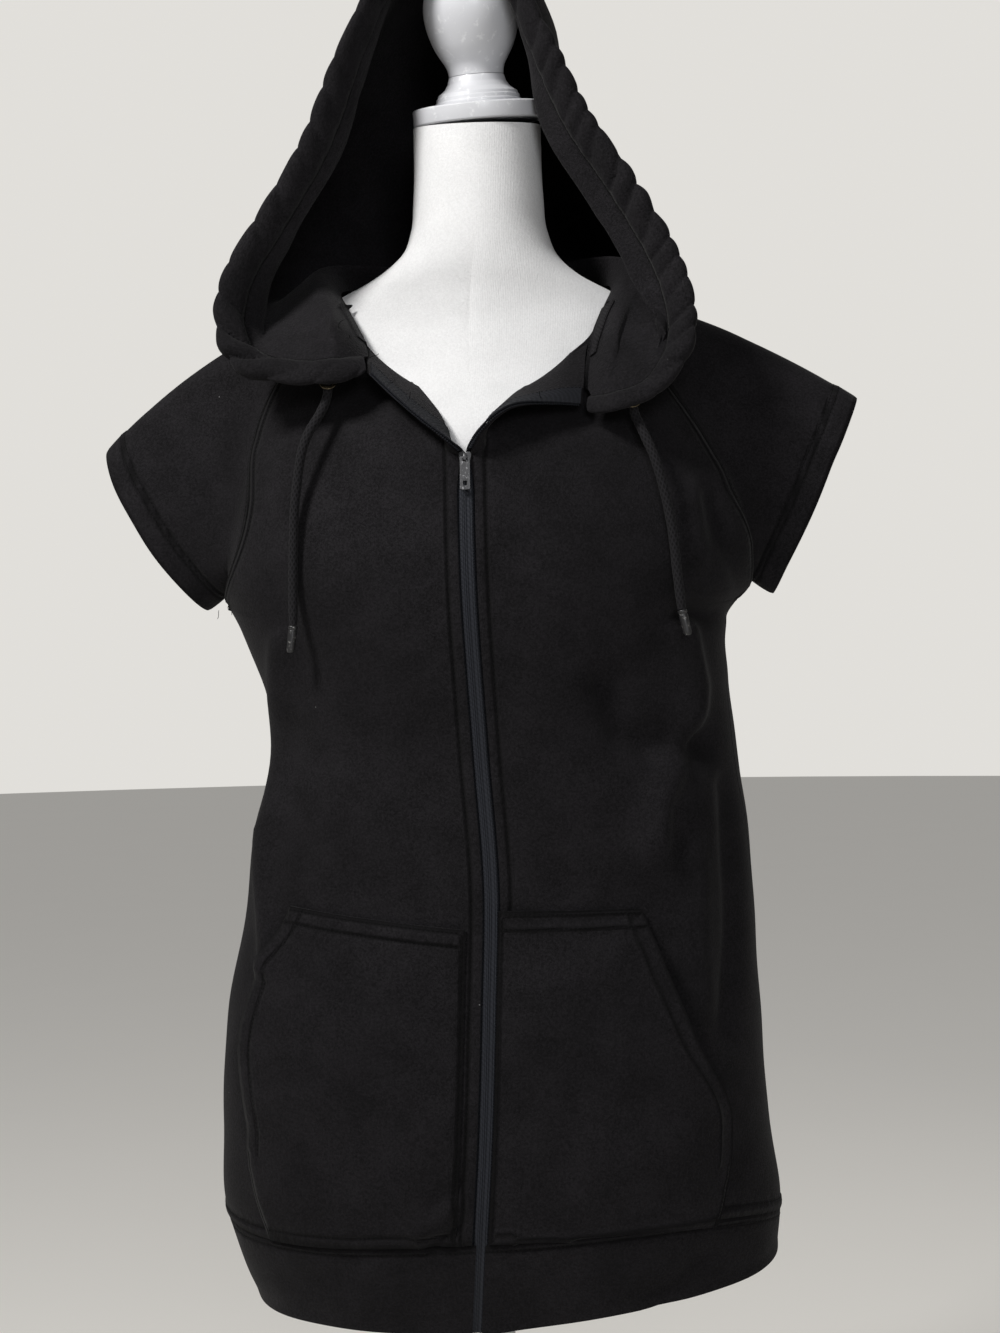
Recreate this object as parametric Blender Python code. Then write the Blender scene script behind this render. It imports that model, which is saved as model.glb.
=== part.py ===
"""A hooded fleece garment with raglan cap sleeves, worn by a limbless dress form.

Everything is worked out in millimetres from the tables below, with heights
counted from the waist level WAIST, and is built in metres. The front faces -Y,
and left and right are those of someone who looks at the front.
"""
import math

import bmesh
import bpy
import numpy as np
from mathutils import Matrix, Vector

MM = 0.001
WAIST = 950.0        # height of level 0 above the floor
SEAM = 0.36          # gap left between two pieces at a seam
FLEECE = 2.4         # wall of one layer of fleece
BAND_WALL = 3.0      # the bottom band is folded double
POCKET_WALL = 2.2
TAPE_WALL = 1.0
ZIP_HALF = 3.3       # from the zip's centre to a front's edge
CHAIN_HALF = 2.9
FACING = 15.0        # width of the front's zip facing
TAPE_REACH = 12.5    # how far a tape lies under the facing
CASING_HALF = 12.5
CASING_DEEP = 6.2
CASING_WALL = 2.0
CORD_R = 3.4
AGLET_R = 3.9
SLIDER_LEVEL = 151.0
BASE_R = 170.0
POLE_R = 12.5


def table(columns, *lines):
    """A short table as one array for each named column."""
    return {name: np.array([line[i] for line in lines], float) for i, name in enumerate(columns.split())}


def along(rows, key, column, at):
    """A column read at any place between the rows, on a smooth curve through them."""
    x, y = rows[key], rows[column]
    step = np.diff(x)
    rise = np.diff(y) / step
    slope = np.empty_like(y)
    slope[1:-1] = (rise[:-1] * step[1:] + rise[1:] * step[:-1]) / (step[1:] + step[:-1])
    slope[0], slope[-1] = rise[0], rise[-1]
    at = np.clip(at, x[0], x[-1])
    i = np.clip(np.searchsorted(x, at, side="right") - 1, 0, len(x) - 2)
    t = (at - x[i]) / step[i]
    return (y[i] * (1 + 2 * t) * (1 - t) ** 2 + slope[i] * step[i] * t * (1 - t) ** 2
            + y[i + 1] * t * t * (3 - 2 * t) - slope[i + 1] * step[i] * t * t * (1 - t))


def point_along(rows, key, at):
    return np.stack([along(rows, key, axis, at) for axis in "xyz"], -1)


# The garment's body, inside face: one row a level. z, tilt and lift set the ring's
# height at the middle, its rise towards the front and its rise at the sides.
BODY = table(
    "level z tilt lift left right front back round_front round_back",
    (-480, -480, 0, 0, 176, 203, 110, 104, 2.3, 2.2),
    (-448, -448, 0, 0, 190, 209, 118, 112, 2.4, 2.2),
    (-405, -405, 0, 0, 204, 213, 126, 118, 2.4, 2.2),
    (-340, -340, 0, 0, 206, 205, 127, 114, 2.4, 2.2),
    (-257, -257, 0, 0, 200, 202, 121, 106, 2.3, 2.2),
    (-180, -180, 0, 0, 186, 198, 115, 96, 2.2, 2.2),
    (-118, -118, 0, 0, 177, 194, 112, 90, 2.2, 2.2),
    (-56, -56, 0, 0, 160, 187, 113, 87, 2.2, 2.2),
    (-10, -10, 0, 0, 169, 182, 119, 88, 2.2, 2.2),
    (32, 32, 0, 0, 185, 182, 125, 92, 2.2, 2.2),
    (60, 60, 0, 0, 198, 202, 127, 95, 2.2, 2.2),
    (125, 125, 0, 0, 196, 204, 122, 98, 2.1, 2.1),
    (170, 165, -6, 4, 190, 190, 115, 95, 1.9, 2.1),
    (215, 206, -26, 22, 170, 165, 100, 86, 1.6, 1.9),
    (262, 246, -52, 40, 112, 104, 76, 70, 1.7, 1.9),
)

# The dress form: a row for each horizontal section.
FORM = table(
    "z half front back round_front round_back",
    (-440, 160, 92, 88, 2.1, 2.1),
    (-425, 168, 100, 95, 2.1, 2.1),
    (-340, 174, 106, 100, 2.1, 2.1),
    (-260, 170, 104, 94, 2.1, 2.1),
    (-180, 155, 97, 82, 2.1, 2.1),
    (-110, 144, 94, 75, 2.1, 2.1),
    (-56, 141, 97, 73, 2.1, 2.1),
    (0, 148, 106, 76, 2.1, 2.1),
    (50, 158, 113, 81, 2.1, 2.1),
    (95, 165, 114, 85, 2.1, 2.1),
    (135, 168, 110, 86, 2.1, 2.1),
    (168, 170, 102, 84, 1.95, 2.0),
    (197, 169, 82, 79, 1.7, 1.9),
    (220, 168, 68, 71, 1.5, 1.8),
    (240, 160.5, 60, 64, 1.4, 1.6),
    (256, 149, 55, 60, 1.35, 1.5),
    (270, 130.5, 52, 56, 1.35, 1.45),
    (284, 108, 50, 53, 1.5, 1.5),
    (298, 80.5, 50, 51, 1.8, 1.8),
    (314, 61, 50, 51, 2, 2),
    (332, 53, 50, 51, 2, 2),
    (360, 50, 49, 50, 2, 2),
    (415, 49, 49, 49, 2, 2),
)

LEAN_FORM = table("z x", (180, 0), (215, -4.1), (285, -4.1), (320, 0))     # its shoulders lie a little to the left

# Front view places of the edges and seams: v runs 0 at the band seam, 1 at the
# underarm, 2 at the neckline.
ZIP = table("z x", (-475, -10), (-405, -5), (-340, -0.5), (-234, 4), (-164, 6), (-59, 0), (46, -5), (155, -6.5))
BAND_SEAM = table("turn z", (0, -405), (40, -397), (90, -413), (180, -410), (270, -409), (320, -412), (360, -405))
HEM = table("turn z", (0, -468), (40, -452), (90, -442), (180, -466), (270, -472), (320, -472), (360, -468))
ZIP_V = table("v z", (0, -405), (0.45, -200), (1, 20), (1.5, SLIDER_LEVEL))
FOLD = {
    -1: table("v x z", (1.5, -24.8, 151), (1.62, -25, 172), (1.78, -44, 204), (1.9, -63, 226), (2, -82, 239)),
    1: table("v x z", (1.5, 11.8, 151), (1.62, 17, 176), (1.78, 36, 204), (1.9, 62, 225), (2, 82, 236)),
}
FREE = {   # the front's free edge above the slider
    -1: table("v x y z", (1.5, -9.8, -121, 151), (1.6, -18, -129, 160), (1.75, -38, -127, 177), (1.9, -61, -113, 199), (2, -77, -99, 216)),
    1: table("v x y z", (1.5, -3.2, -121, 151), (1.6, 5, -130, 165), (1.75, 27, -129, 183), (1.9, 57, -116, 187), (2, 77, -103, 187)),
}
SIDE_SEAM = table("v left right", (0, -90, 90), (0.4, -90, 86), (0.64, -91, 78), (0.84, -91, 75), (0.94, -90, 79), (1, -90, 85))
RAGLAN_FRONT = {
    -1: table("v x z", (1, -197, 50), (1.15, -186, 82), (1.35, -175, 118), (1.58, -165, 163), (1.78, -141, 208), (2, -97, 266)),
    1: table("v x z", (1, 203, 52), (1.15, 200, 86), (1.35, 184, 124), (1.58, 163, 165), (1.78, 136, 203), (2, 93, 266)),
}
RAGLAN_BACK = {
    -1: table("v x z", (1, -197, 50), (1.15, -188, 83), (1.4, -172, 130), (1.65, -152, 185), (1.85, -124, 240), (2, -88, 282)),
    1: table("v x z", (1, 203, 52), (1.15, 196, 84), (1.4, 175, 130), (1.65, 150, 185), (1.85, 120, 240), (2, 86, 282)),
}
# The neckline seam: 0 the fold of the front, 1 and 3 the two raglans, 2 the shoulder, 4 the nape.
NECK = {
    -1: table("at x y z", (0, -82, -60, 239), (1, -97, -32, 270), (2, -107, 6, 292), (3, -86, 46, 300), (4, 2, 68, 305)),
    1: table("at x y z", (0, 82, -60, 236), (1, 94, -32, 268), (2, 100, 6, 290), (3, 84, 46, 299), (4, 2, 68, 305)),
}
# The hood. Its edge is the casing's centre line; the other columns give the ring from
# the edge: the way it leaves (dx inwards, dy, dz), the side, the centre seam, the sweep into it.
EDGE = {
    -1: table("v x y z", (0, -75, -89, 221), (1, -98, -106, 213), (2, -131, -104, 213), (3, -164, -93, 225), (4, -179, -80, 253),
              (5, -173, -74, 290), (6, -146, -70, 335), (7, -115, -67, 388), (8, -88, -64, 457), (9, -57, -60, 517), (9.6, -33, -58, 541), (10, -15.5, -57, 547)),
    1: table("v x y z", (0, 78, -93, 190), (1, 98, -108, 190), (2, 126, -104, 201), (3, 147, -93, 230), (4, 147, -81, 265),
             (5, 134, -74, 303), (6, 107, -70, 351), (7, 75, -67, 402), (8, 48, -64, 464), (9, 23, -60, 516), (9.6, 1, -58, 541), (10, -15.5, -57, 547)),
}
HOOD = table(
    "v dx dy dz left right side_y side_z back_y back_z sweep",
    (1, 2, 40, 90, 128, 120, 2, 308, 82, 316, 70),
    (2, 0, 55, 90, 155, 142, 8, 288, 102, 313, 80),
    (3, 30, 62, 60, 166, 146, 20, 294, 128, 310, 95),
    (4, 80, 62, 5, 160, 136, 35, 326, 150, 332, 110),
    (5, 85, 62, -10, 152, 124, 38, 366, 155, 375, 110),
    (6, 80, 60, -10, 130, 98, 36, 412, 147, 425, 100),
    (7, 70, 56, -12, 101, 67, 30, 455, 125, 472, 85),
    (8, 34, 50, -8, 72, 56, 18, 500, 85, 517, 65),
    (9, 8, 45, 0, 46, 32, -12, 536, 25, 549, 40),
    (10, 3, 5, 1, 16, -11, -51, 548, -45, 549, 5),
)
CENTRE = table("v x", (0, 2), (4, -3), (10, -15.5))
# The cuffs: the ring's top and bottom, half its depth, how far its front bows out.
CUFF = {
    -1: {"top": (-290, 5, 179), "bottom": (-214, 0, 47), "half": 34, "bow": 14, "droop": 0.55},
    1: {"top": (287, 5, 204), "bottom": (219, 0, 50), "half": 34, "bow": 2, "droop": 0.25},
}
POCKET_EDGE = {
    -1: table("v x z", (0, -161, -406), (0.12, -171, -374), (0.36, -171.5, -320), (0.56, -171, -272), (0.74, -161, -231), (0.93, -144, -186), (1, -139, -172)),
    1: table("v x z", (0, 160, -404), (0.1, 165, -388), (0.36, 169, -323), (0.56, 143, -269), (0.74, 126, -222), (0.93, 115, -186), (1, 112.5, -175)),
}
POCKET_TOP = {-1: -186.0, 1: -173.0}     # level where the pocket meets the zip
POCKET_INNER = {-1: -18.0, 1: 5.0}       # from the zip's centre
POCKET_GAPE = 11.0
CORD = {
    -1: table("at x y z", (0, -105, -107, 211), (0.4, -105, -97, 203), (0.8, -107.5, -98.5, 193), (1.2, -112, -103.5, 182), (1.7, -119.5, -109, 168), (3, -128.5, -109.5, 127), (4.4, -131.5, -109, 81), (5.9, -132.4, -109, 32)),
    1: table("at x y z", (0, 111, -108, 195), (0.4, 111, -98, 187), (0.8, 114.5, -98, 177), (1.2, 118.5, -103, 167), (1.7, 126, -108, 149), (2.8, 137, -108.5, 105), (4, 142, -108, 60), (4.7, 144.4, -108, 38)),
}
AGLET = {-1: (-2.4, 0, -19.6), 1: (4.2, 0, -18.4)}    # from the cord's end to the tip's end
# Turned profiles, radius by height above the neck's top.
CAP = table("z r", (0.3, 48.6), (1.2, 49.8), (11.8, 49.8), (12.8, 48.8), (13, 33), (13.8, 33.4), (16.4, 33.2), (17, 32.2), (19.6, 32), (20.2, 31), (22.4, 30.6), (23.2, 29.2), (26, 25.4), (30, 22.6), (35, 21.2))
FINIAL = table("z r", (35.3, 21), (38, 21.2), (43, 22.6), (48, 25.6), (55, 29.6), (64, 33.2), (73, 35.6), (83, 36.6), (93, 35.4), (102, 31.8), (110, 25.6), (115.5, 17.8), (118.6, 9))
NECK_TILT = math.radians(12)     # the neck's top and its cap lean forward


def section(turn, wide, front, back, round_front, round_back):
    """x and y on an oval section: turn is 0 at the front, 90 on the right."""
    s, c = np.sin(np.radians(turn)), np.cos(np.radians(turn))
    power = np.where(c > 0, round_front, round_back)
    k = (np.abs(s) ** power + np.abs(c) ** power) ** (-1 / power)
    return wide * s * k, -np.where(c > 0, front, back) * c * k


def body(turn, level):
    """A point on the inside face of the garment's body."""
    turn, level = np.broadcast_arrays(np.asarray(turn, float), np.asarray(level, float))
    row = {name: along(BODY, "level", name, level) for name in BODY if name != "level"}
    s, c = np.sin(np.radians(turn)), np.cos(np.radians(turn))
    wide = np.where(s < 0, row["left"], row["right"])
    x, y = section(turn, wide, row["front"], row["back"], row["round_front"], row["round_back"])
    return np.stack([x, y, row["z"] + row["tilt"] * c + row["lift"] * s * s], -1)


def locate(x, z, back=False):
    """The turn and level of the body's point that stands at x and z in the front or back view."""
    x, z = np.broadcast_arrays(np.asarray(x, float), np.asarray(z, float))
    low, high = np.full(x.shape, -480.0), np.full(x.shape, 262.0)
    for _ in range(26):
        level = (low + high) / 2
        a, b = np.full(x.shape, -90.0), np.full(x.shape, 90.0)
        for _ in range(22):
            turn = (a + b) / 2
            under = body(180 - turn if back else turn, level)[..., 0] < x
            a, b = np.where(under, turn, a), np.where(under, b, turn)
        under = body(180 - turn if back else turn, level)[..., 2] < z
        low, high = np.where(under, level, low), np.where(under, high, level)
    return (180 - turn if back else turn), level


def coons(bottom, top, inner, outer):
    """Fills a four-sided patch from its edges, each an array of (turn, level)."""
    rows, columns = len(inner), len(bottom)
    v = np.linspace(0, 1, rows)[:, None, None]
    u = np.linspace(0, 1, columns)[None, :, None]
    corners = (bottom[0] * (1 - u) * (1 - v) + bottom[-1] * u * (1 - v) + top[0] * (1 - u) * v + top[-1] * u * v)
    return (bottom[None] * (1 - v) + top[None] * v + inner[:, None] * (1 - u) + outer[:, None] * u - corners)


def hermite(a, ta, b, tb, t):
    return (a * (1 + 2 * t) * (1 - t) ** 2 + ta * t * (1 - t) ** 2 + b * t * t * (3 - 2 * t) - tb * t * t * (1 - t))


def unit(v):
    return v / np.maximum(np.linalg.norm(v, axis=-1, keepdims=True), 1e-9)


def normals(grid, closed=False):
    """Outward normals of a grid whose rows go up and whose columns go to the viewer's right seen from outside."""
    if closed:
        across = np.roll(grid, -1, 1) - np.roll(grid, 1, 1)
    else:
        across = np.gradient(grid, axis=1)
    up = np.gradient(grid, axis=0)
    return unit(np.cross(across, up))


# ---------------------------------------------------------------- panels
BAND_ROWS, LOW_ROWS, HIGH_ROWS = 3, 9, 10
MAIN, SLEEVE_TOP, BACK_HALF = 7, 5, 6
FACING_COLUMNS = (0.0, 6.0, TAPE_REACH, 25.3)
V = np.concatenate([np.linspace(0, 1, LOW_ROWS + 1), np.linspace(1, 2, HIGH_ROWS + 1)[1:]])


def zip_x(z):
    return along(ZIP, "z", "x", z)


def front_main(side):
    """The front between its fold and its side seam and raglan, as (turn, level)."""
    low = V <= 1.5
    x = np.where(low, zip_x(along(ZIP_V, "v", "z", V)) + side * (ZIP_HALF + FACING), along(FOLD[side], "v", "x", V))
    z = np.where(low, along(ZIP_V, "v", "z", V), along(FOLD[side], "v", "z", V))
    inner = np.stack(locate(x, z), -1)
    seam = along(SIDE_SEAM, "v", "left" if side < 0 else "right", np.minimum(V, 1))
    rag = np.stack(locate(along(RAGLAN_FRONT[side], "v", "x", V), along(RAGLAN_FRONT[side], "v", "z", V)), -1)
    foot = along(BAND_SEAM, "turn", "z", seam[0] % 360)
    level = foot + (rag[LOW_ROWS, 1] - foot) * V
    outer = np.where((V < 1)[:, None], np.stack([seam, level], -1), rag)
    outer[LOW_ROWS] = rag[LOW_ROWS]
    turn = np.linspace(inner[0, 0], outer[0, 0], MAIN + 1)
    bottom = np.stack([turn, along(BAND_SEAM, "turn", "z", turn % 360)], -1)
    inner[0] = bottom[0]
    outer[0] = bottom[-1]
    top = np.linspace(inner[-1], outer[-1], MAIN + 1)
    return coons(bottom, top, inner, outer)


def fitted(grid, rim, reach):
    """The grid with its top row moved onto the neckline, and the rows under it less and less."""
    fade = np.clip((V - (2 - reach)) / reach, 0, 1)[:, None, None]
    return grid + (rim - grid[-1])[None] * fade * fade * (3 - 2 * fade)


def front_grid(side):
    """The whole front, columns from the free edge to the side."""
    patch = front_main(side)
    main = fitted(body(patch[..., 0], patch[..., 1]), point_along(NECK[side], "at", np.linspace(0, 1, MAIN + 1)), 0.5)
    fold = main[:, 0]
    inward = unit(main[:, 0] - main[:, 1])
    low = (V <= 1.5)[:, None]
    z = along(ZIP_V, "v", "z", V)
    edge = np.where(low, body(*locate(zip_x(z) + side * ZIP_HALF, z)), point_along(FREE[side], "v", V))
    width = np.linalg.norm(edge - fold, axis=-1)
    grid = []
    for i, v in enumerate(V):
        rise = np.clip((v - 1.5) / 0.2, 0, 1)
        leave = inward[i] * (width[i] * (1 - rise) + 34 * rise)
        arrive = (edge[i] - fold[i]) * (1 + 0.15 * rise)
        distance = np.array(FACING_COLUMNS[:3] + ((TAPE_REACH + width[i]) / 2 if width[i] < 38 else FACING_COLUMNS[3],))
        t = 1 - distance / width[i]
        strip = hermite(fold[i], leave, edge[i], arrive, t[:, None])
        grid.append(np.concatenate([strip, main[i]]))
    return np.array(grid)


def back_grid():
    """The back, columns from the viewer's right round to the left."""
    sides = []
    for side, name in ((1, "right"), (-1, "left")):
        rag = np.stack(locate(along(RAGLAN_BACK[side], "v", "x", V), along(RAGLAN_BACK[side], "v", "z", V), back=True), -1)
        seam = along(SIDE_SEAM, "v", name, np.minimum(V, 1)) % 360
        front = np.array(locate(RAGLAN_FRONT[side]["x"][0], RAGLAN_FRONT[side]["z"][0]))
        foot = along(BAND_SEAM, "turn", "z", seam[0])
        level = foot + (front[1] - foot) * V
        edge = np.where((V < 1)[:, None], np.stack([seam, level], -1), rag)
        edge[LOW_ROWS] = (front[0] % 360, front[1])
        sides.append(edge)
    right, left = sides
    turn = np.linspace(right[0, 0], left[0, 0], 2 * BACK_HALF + 1)
    bottom = np.stack([turn, along(BAND_SEAM, "turn", "z", turn)], -1)
    turn = np.linspace(right[-1, 0], left[-1, 0], 2 * BACK_HALF + 1)
    top = np.stack([turn, np.linspace(right[-1, 1], left[-1, 1], 2 * BACK_HALF + 1)], -1)
    patch = coons(bottom, top, right, left)
    half = np.linspace(3, 4, BACK_HALF + 1)
    rim = np.concatenate([point_along(NECK[1], "at", half), point_along(NECK[-1], "at", half[::-1])[1:]])
    return fitted(body(patch[..., 0], patch[..., 1]), rim, 0.6)


def armhole(side, front, back):
    """The closed loop of the armhole: up the front raglan, over the shoulder, down the back."""
    up = front[LOW_ROWS:, -1]
    over = point_along(NECK[side], "at", np.linspace(1, 3, SLEEVE_TOP + 1))[1:-1]
    down = back[LOW_ROWS:, 0 if side > 0 else -1][::-1]
    return np.concatenate([up, over, down[:-1]])


def sleeve_grid(side, loop, loop_normals, rows=7):
    """Rows from the armhole to the cuff, columns round the loop."""
    cuff = CUFF[side]
    top, bottom = np.array(cuff["top"], float), np.array(cuff["bottom"], float)
    major, middle = (top - bottom) / 2, (top + bottom) / 2
    out = unit(np.cross(np.array([0.0, side, 0.0]), major))
    n = HIGH_ROWS
    around = np.concatenate([np.linspace(0, 150, n + 1)[:-1], np.linspace(150, 210, SLEEVE_TOP + 1), np.linspace(210, 360, n + 1)[1:-1]])
    a = np.radians(around)[:, None]
    front_share = np.clip(np.sin(a), 0, 1)
    ring = middle - np.cos(a) * major - np.sin(a) * np.array([0.0, cuff["half"], 0.0]) + out * cuff["bow"] * front_share
    reach = np.linalg.norm(ring - loop, axis=-1, keepdims=True)
    way = ring - loop
    lying = np.clip((1 - np.cos(a)) * 1.6, 0, 1)      # at the underarm the sleeve leaves the body straight
    way = unit(way - lying * (way * loop_normals).sum(-1, keepdims=True) * loop_normals)
    high = np.clip(-np.cos(a), 0, 1) ** 2
    land = unit(out + high * cuff["droop"] * np.array([0.0, 0.0, -1.0]))
    s = np.linspace(0, 1, rows + 1)[:, None, None]
    return hermite(loop[None], (way * reach * 0.85)[None], ring[None], (land * reach * 1.1)[None], s)


HOOD_V = np.array([0, 0.4, 0.8, 1.2, 1.7, 2.3, 3, 3.7, 4.5, 5.4, 6.4, 7.4, 8.3, 9, 9.4, 9.65, 9.82])


def casing_frame(side, v):
    """The casing at v: its centre, the path's way, the way in (d) and out of the cloth (n)."""
    v = np.atleast_1d(np.asarray(v, float))
    centre = point_along(EDGE[side], "v", v)
    ahead = unit(point_along(EDGE[side], "v", v + 0.05) - point_along(EDGE[side], "v", v - 0.05))
    d = np.stack([-side * along(HOOD, "v", "dx", v), along(HOOD, "v", "dy", v), along(HOOD, "v", "dz", v)], -1)
    d = unit(d)
    d = unit(d - (d * ahead).sum(-1, keepdims=True) * ahead)
    n = unit(np.cross(ahead, d)) * -side
    start = unit(point_along(NECK[side], "at", np.array([0.0])) - point_along(FREE[side], "v", np.array([2.0])))
    low = np.clip(1 - v, 0, 1)[:, None]
    return centre, ahead, unit(d * (1 - low) + start * low), n


def hood_ring(side, v, t):
    """Points on the hood's ring v, from the casing (t 0) to the centre seam (t 1)."""
    row = {name: float(along(HOOD, "v", name, v)) for name in HOOD}
    centre, ahead, d, n = casing_frame(side, v)
    edge = centre[0] + d[0] * (CASING_HALF + 1.5 + 2 * np.clip(v - 9, 0, 1))
    leave = np.array([-side * row["dx"], row["dy"], row["dz"]])
    middle = np.array([side * row["right" if side > 0 else "left"], row["side_y"], row["side_z"]])
    rear = np.array([float(along(CENTRE, "v", "x", v)), row["back_y"], row["back_z"]])
    turn = (rear - edge) * 0.42
    t = np.asarray(t, float)[:, None]
    first = hermite(edge, leave, middle, turn, np.clip(2 * t, 0, 1))
    second = hermite(middle, turn, rear, np.array([-side * row["sweep"], 0, 0]), np.clip(2 * t - 1, 0, 1))
    return np.where(t < 0.5, first, second)


def hood_grid(side, rim):
    """The hood's half: its first row is the neckline's own points from the casing back."""
    steps = np.linalg.norm(np.diff(rim, axis=0), axis=-1)
    share = np.concatenate([[0], np.cumsum(steps)])
    fine = np.linspace(0, 1, 101)
    rows = []
    for v in HOOD_V:
        at = max(v, 1)
        ring = hood_ring(side, at, fine)
        run = np.concatenate([[0], np.cumsum(np.linalg.norm(np.diff(ring, axis=0), axis=-1))])
        even = np.linspace(0, 1, len(rim))
        mix = np.clip((v - 0.5) / 2.5, 0, 1)
        t = np.interp(run[-1] * (share / share[-1] * (1 - mix) + even * mix), run, fine)
        row = hood_ring(side, at, t)
        if v < 1:
            slope = (hood_ring(side, 1.05, t) - row) / 0.05
            w = v - 1
            row = row + slope * w + (rim - row + slope) * w * w
            centre, ahead, d, n = casing_frame(side, v)
            if v > 0:
                lap = np.zeros((len(row), 1))
                lap[1:8, 0] = np.sin(np.linspace(1.2, 2.9, 7))
                row = row + lap * 27 * v * (1 - v) * np.array([side * 0.45, -0.6, 0.5])
                row[:4] += (centre[0] + d[0] * (CASING_HALF + 1.5) - row[0]) * np.array([1, 0.7, 0.3, 0.1])[:, None]
        rows.append(row)
    return np.array(rows)


# ---------------------------------------------------------------- solids
def material(name, colour, roughness, metallic=0.0):
    made = bpy.data.materials.get(name) or bpy.data.materials.new(name)
    made.use_nodes = True
    shader = made.node_tree.nodes["Principled BSDF"]
    shader.inputs["Base Color"].default_value = (*colour, 1)
    shader.inputs["Roughness"].default_value = roughness
    shader.inputs["Metallic"].default_value = metallic
    made.diffuse_color = (*colour, 1)
    return made


def finish(name, bm, look, smooth=True):
    """The mesh as an object in metres, its faces pointing out."""
    bmesh.ops.recalc_face_normals(bm, faces=bm.faces[:])
    for vert in bm.verts:
        vert.co = Vector((vert.co.x, vert.co.y, vert.co.z + WAIST)) * MM
    mesh = bpy.data.meshes.new(name)
    bm.to_mesh(mesh)
    bm.free()
    if smooth:
        mesh.shade_smooth()
        mesh.set_sharp_from_angle(angle=math.radians(50))
    mesh.materials.append(look)
    obj = bpy.data.objects.new(name, mesh)
    bpy.context.collection.objects.link(obj)
    return obj


def lay(bm, points, closed):
    """A grid primitive laid on rows of points; a closed one is joined at its last column."""
    rows, columns = points.shape[:2]
    if closed:
        points = np.concatenate([points, points[:, :1]], 1)
        columns += 1
    index = bm.verts.layers.int.new("index")
    made = bmesh.ops.create_grid(bm, x_segments=columns - 1, y_segments=rows - 1, size=1)["verts"]
    order = sorted(made, key=lambda vert: (round(vert.co.y, 5), vert.co.x))
    flat = points.reshape(-1, 3)
    for number, vert in enumerate(order):
        vert[index] = number
        vert.co = flat[number]
    return index


def wall(name, inner, outer, look, closed=False):
    """A wall of cloth: a grid on the inner face, extruded to the outer face."""
    bm = bmesh.new()
    index = lay(bm, inner, closed)
    if closed:
        outer = np.concatenate([outer, outer[:, :1]], 1)
        bmesh.ops.remove_doubles(bm, verts=bm.verts[:], dist=1e-3)
    made = bmesh.ops.extrude_face_region(bm, geom=bm.faces[:] + bm.edges[:] + bm.verts[:], use_keep_orig=True)
    flat = outer.reshape(-1, 3)
    for item in made["geom"]:
        if isinstance(item, bmesh.types.BMVert):
            item.co = flat[item[index]]
    bmesh.ops.remove_doubles(bm, verts=bm.verts[:], dist=1e-4)
    return finish(name, bm, look)


def pulled_in(grid, edges, gap=SEAM / 2):
    """Moves the named edges of a grid in along the surface, square to the seam."""
    moved = grid.copy()
    for edge in edges:
        rim, nxt = {"bottom": (grid[0], grid[1]), "top": (grid[-1], grid[-2]),
                    "first": (grid[:, 0], grid[:, 1]), "last": (grid[:, -1], grid[:, -2])}[edge]
        tangent = unit(np.gradient(rim, axis=0))
        way = nxt - rim
        way = unit(way - (way * tangent).sum(-1, keepdims=True) * tangent) * gap
        target = {"bottom": moved[0], "top": moved[-1], "first": moved[:, 0], "last": moved[:, -1]}[edge]
        target += way
    return moved


class Seams:
    """Gives the points that panels share one mitre, so that their end faces stay parallel."""

    def __init__(self):
        self.sums, self.counts = {}, {}

    def key(self, point):
        return tuple(np.round(point / 0.05).astype(int))

    def add(self, grid, facing, closed=False):
        rims = [(grid[0], facing[0]), (grid[-1], facing[-1])]
        if not closed:
            rims += [(grid[:, 0], facing[:, 0]), (grid[:, -1], facing[:, -1])]
        seen = set()
        for points, ways in rims:
            for point, way in zip(points, ways):
                key = self.key(point)
                if key not in seen:
                    seen.add(key)
                    self.sums[key] = self.sums.get(key, 0) + way
                    self.counts[key] = self.counts.get(key, 0) + 1

    def share(self, grid, facing, closed=False):
        facing = facing.copy()
        rows, columns = grid.shape[:2]
        for i in range(rows):
            for j in range(columns):
                if i in (0, rows - 1) or (not closed and j in (0, columns - 1)):
                    key = self.key(grid[i, j])
                    mean = self.sums[key] / self.counts[key]
                    facing[i, j] = unit(mean) / max(float(np.linalg.norm(mean)), 0.5)
        return facing


def turned(name, profile, look, lean=0.0, segments=26, at=(0, 0, 0), tilt=0.0):
    """A turned solid from (radius, height) rows, closed on its axis at both ends."""
    bm = bmesh.new()
    verts = [bm.verts.new((r, 0, z)) for r, z in profile]
    for a, b in zip(verts, verts[1:]):
        bm.edges.new((a, b))
    bmesh.ops.spin(bm, geom=bm.verts[:] + bm.edges[:], cent=(0, 0, 0), axis=(0, 0, 1), angle=math.tau, steps=segments)
    bmesh.ops.remove_doubles(bm, verts=bm.verts[:], dist=1e-4)
    bmesh.ops.transform(bm, matrix=Matrix.Translation(Vector(at)) @ Matrix.Rotation(tilt, 4, "X") @ Matrix.Rotation(lean, 4, "Y"), verts=bm.verts[:])
    return finish(name, bm, look)


def stack(name, rings, look, cap=True):
    """A solid skinned over closed rings of points, bottom to top, with flat ends."""
    bm = bmesh.new()
    lay(bm, np.array(rings), True)
    bmesh.ops.remove_doubles(bm, verts=bm.verts[:], dist=1e-3)
    if cap:
        bmesh.ops.holes_fill(bm, edges=[edge for edge in bm.edges if edge.is_boundary], sides=0)
    return finish(name, bm, look)


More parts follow.
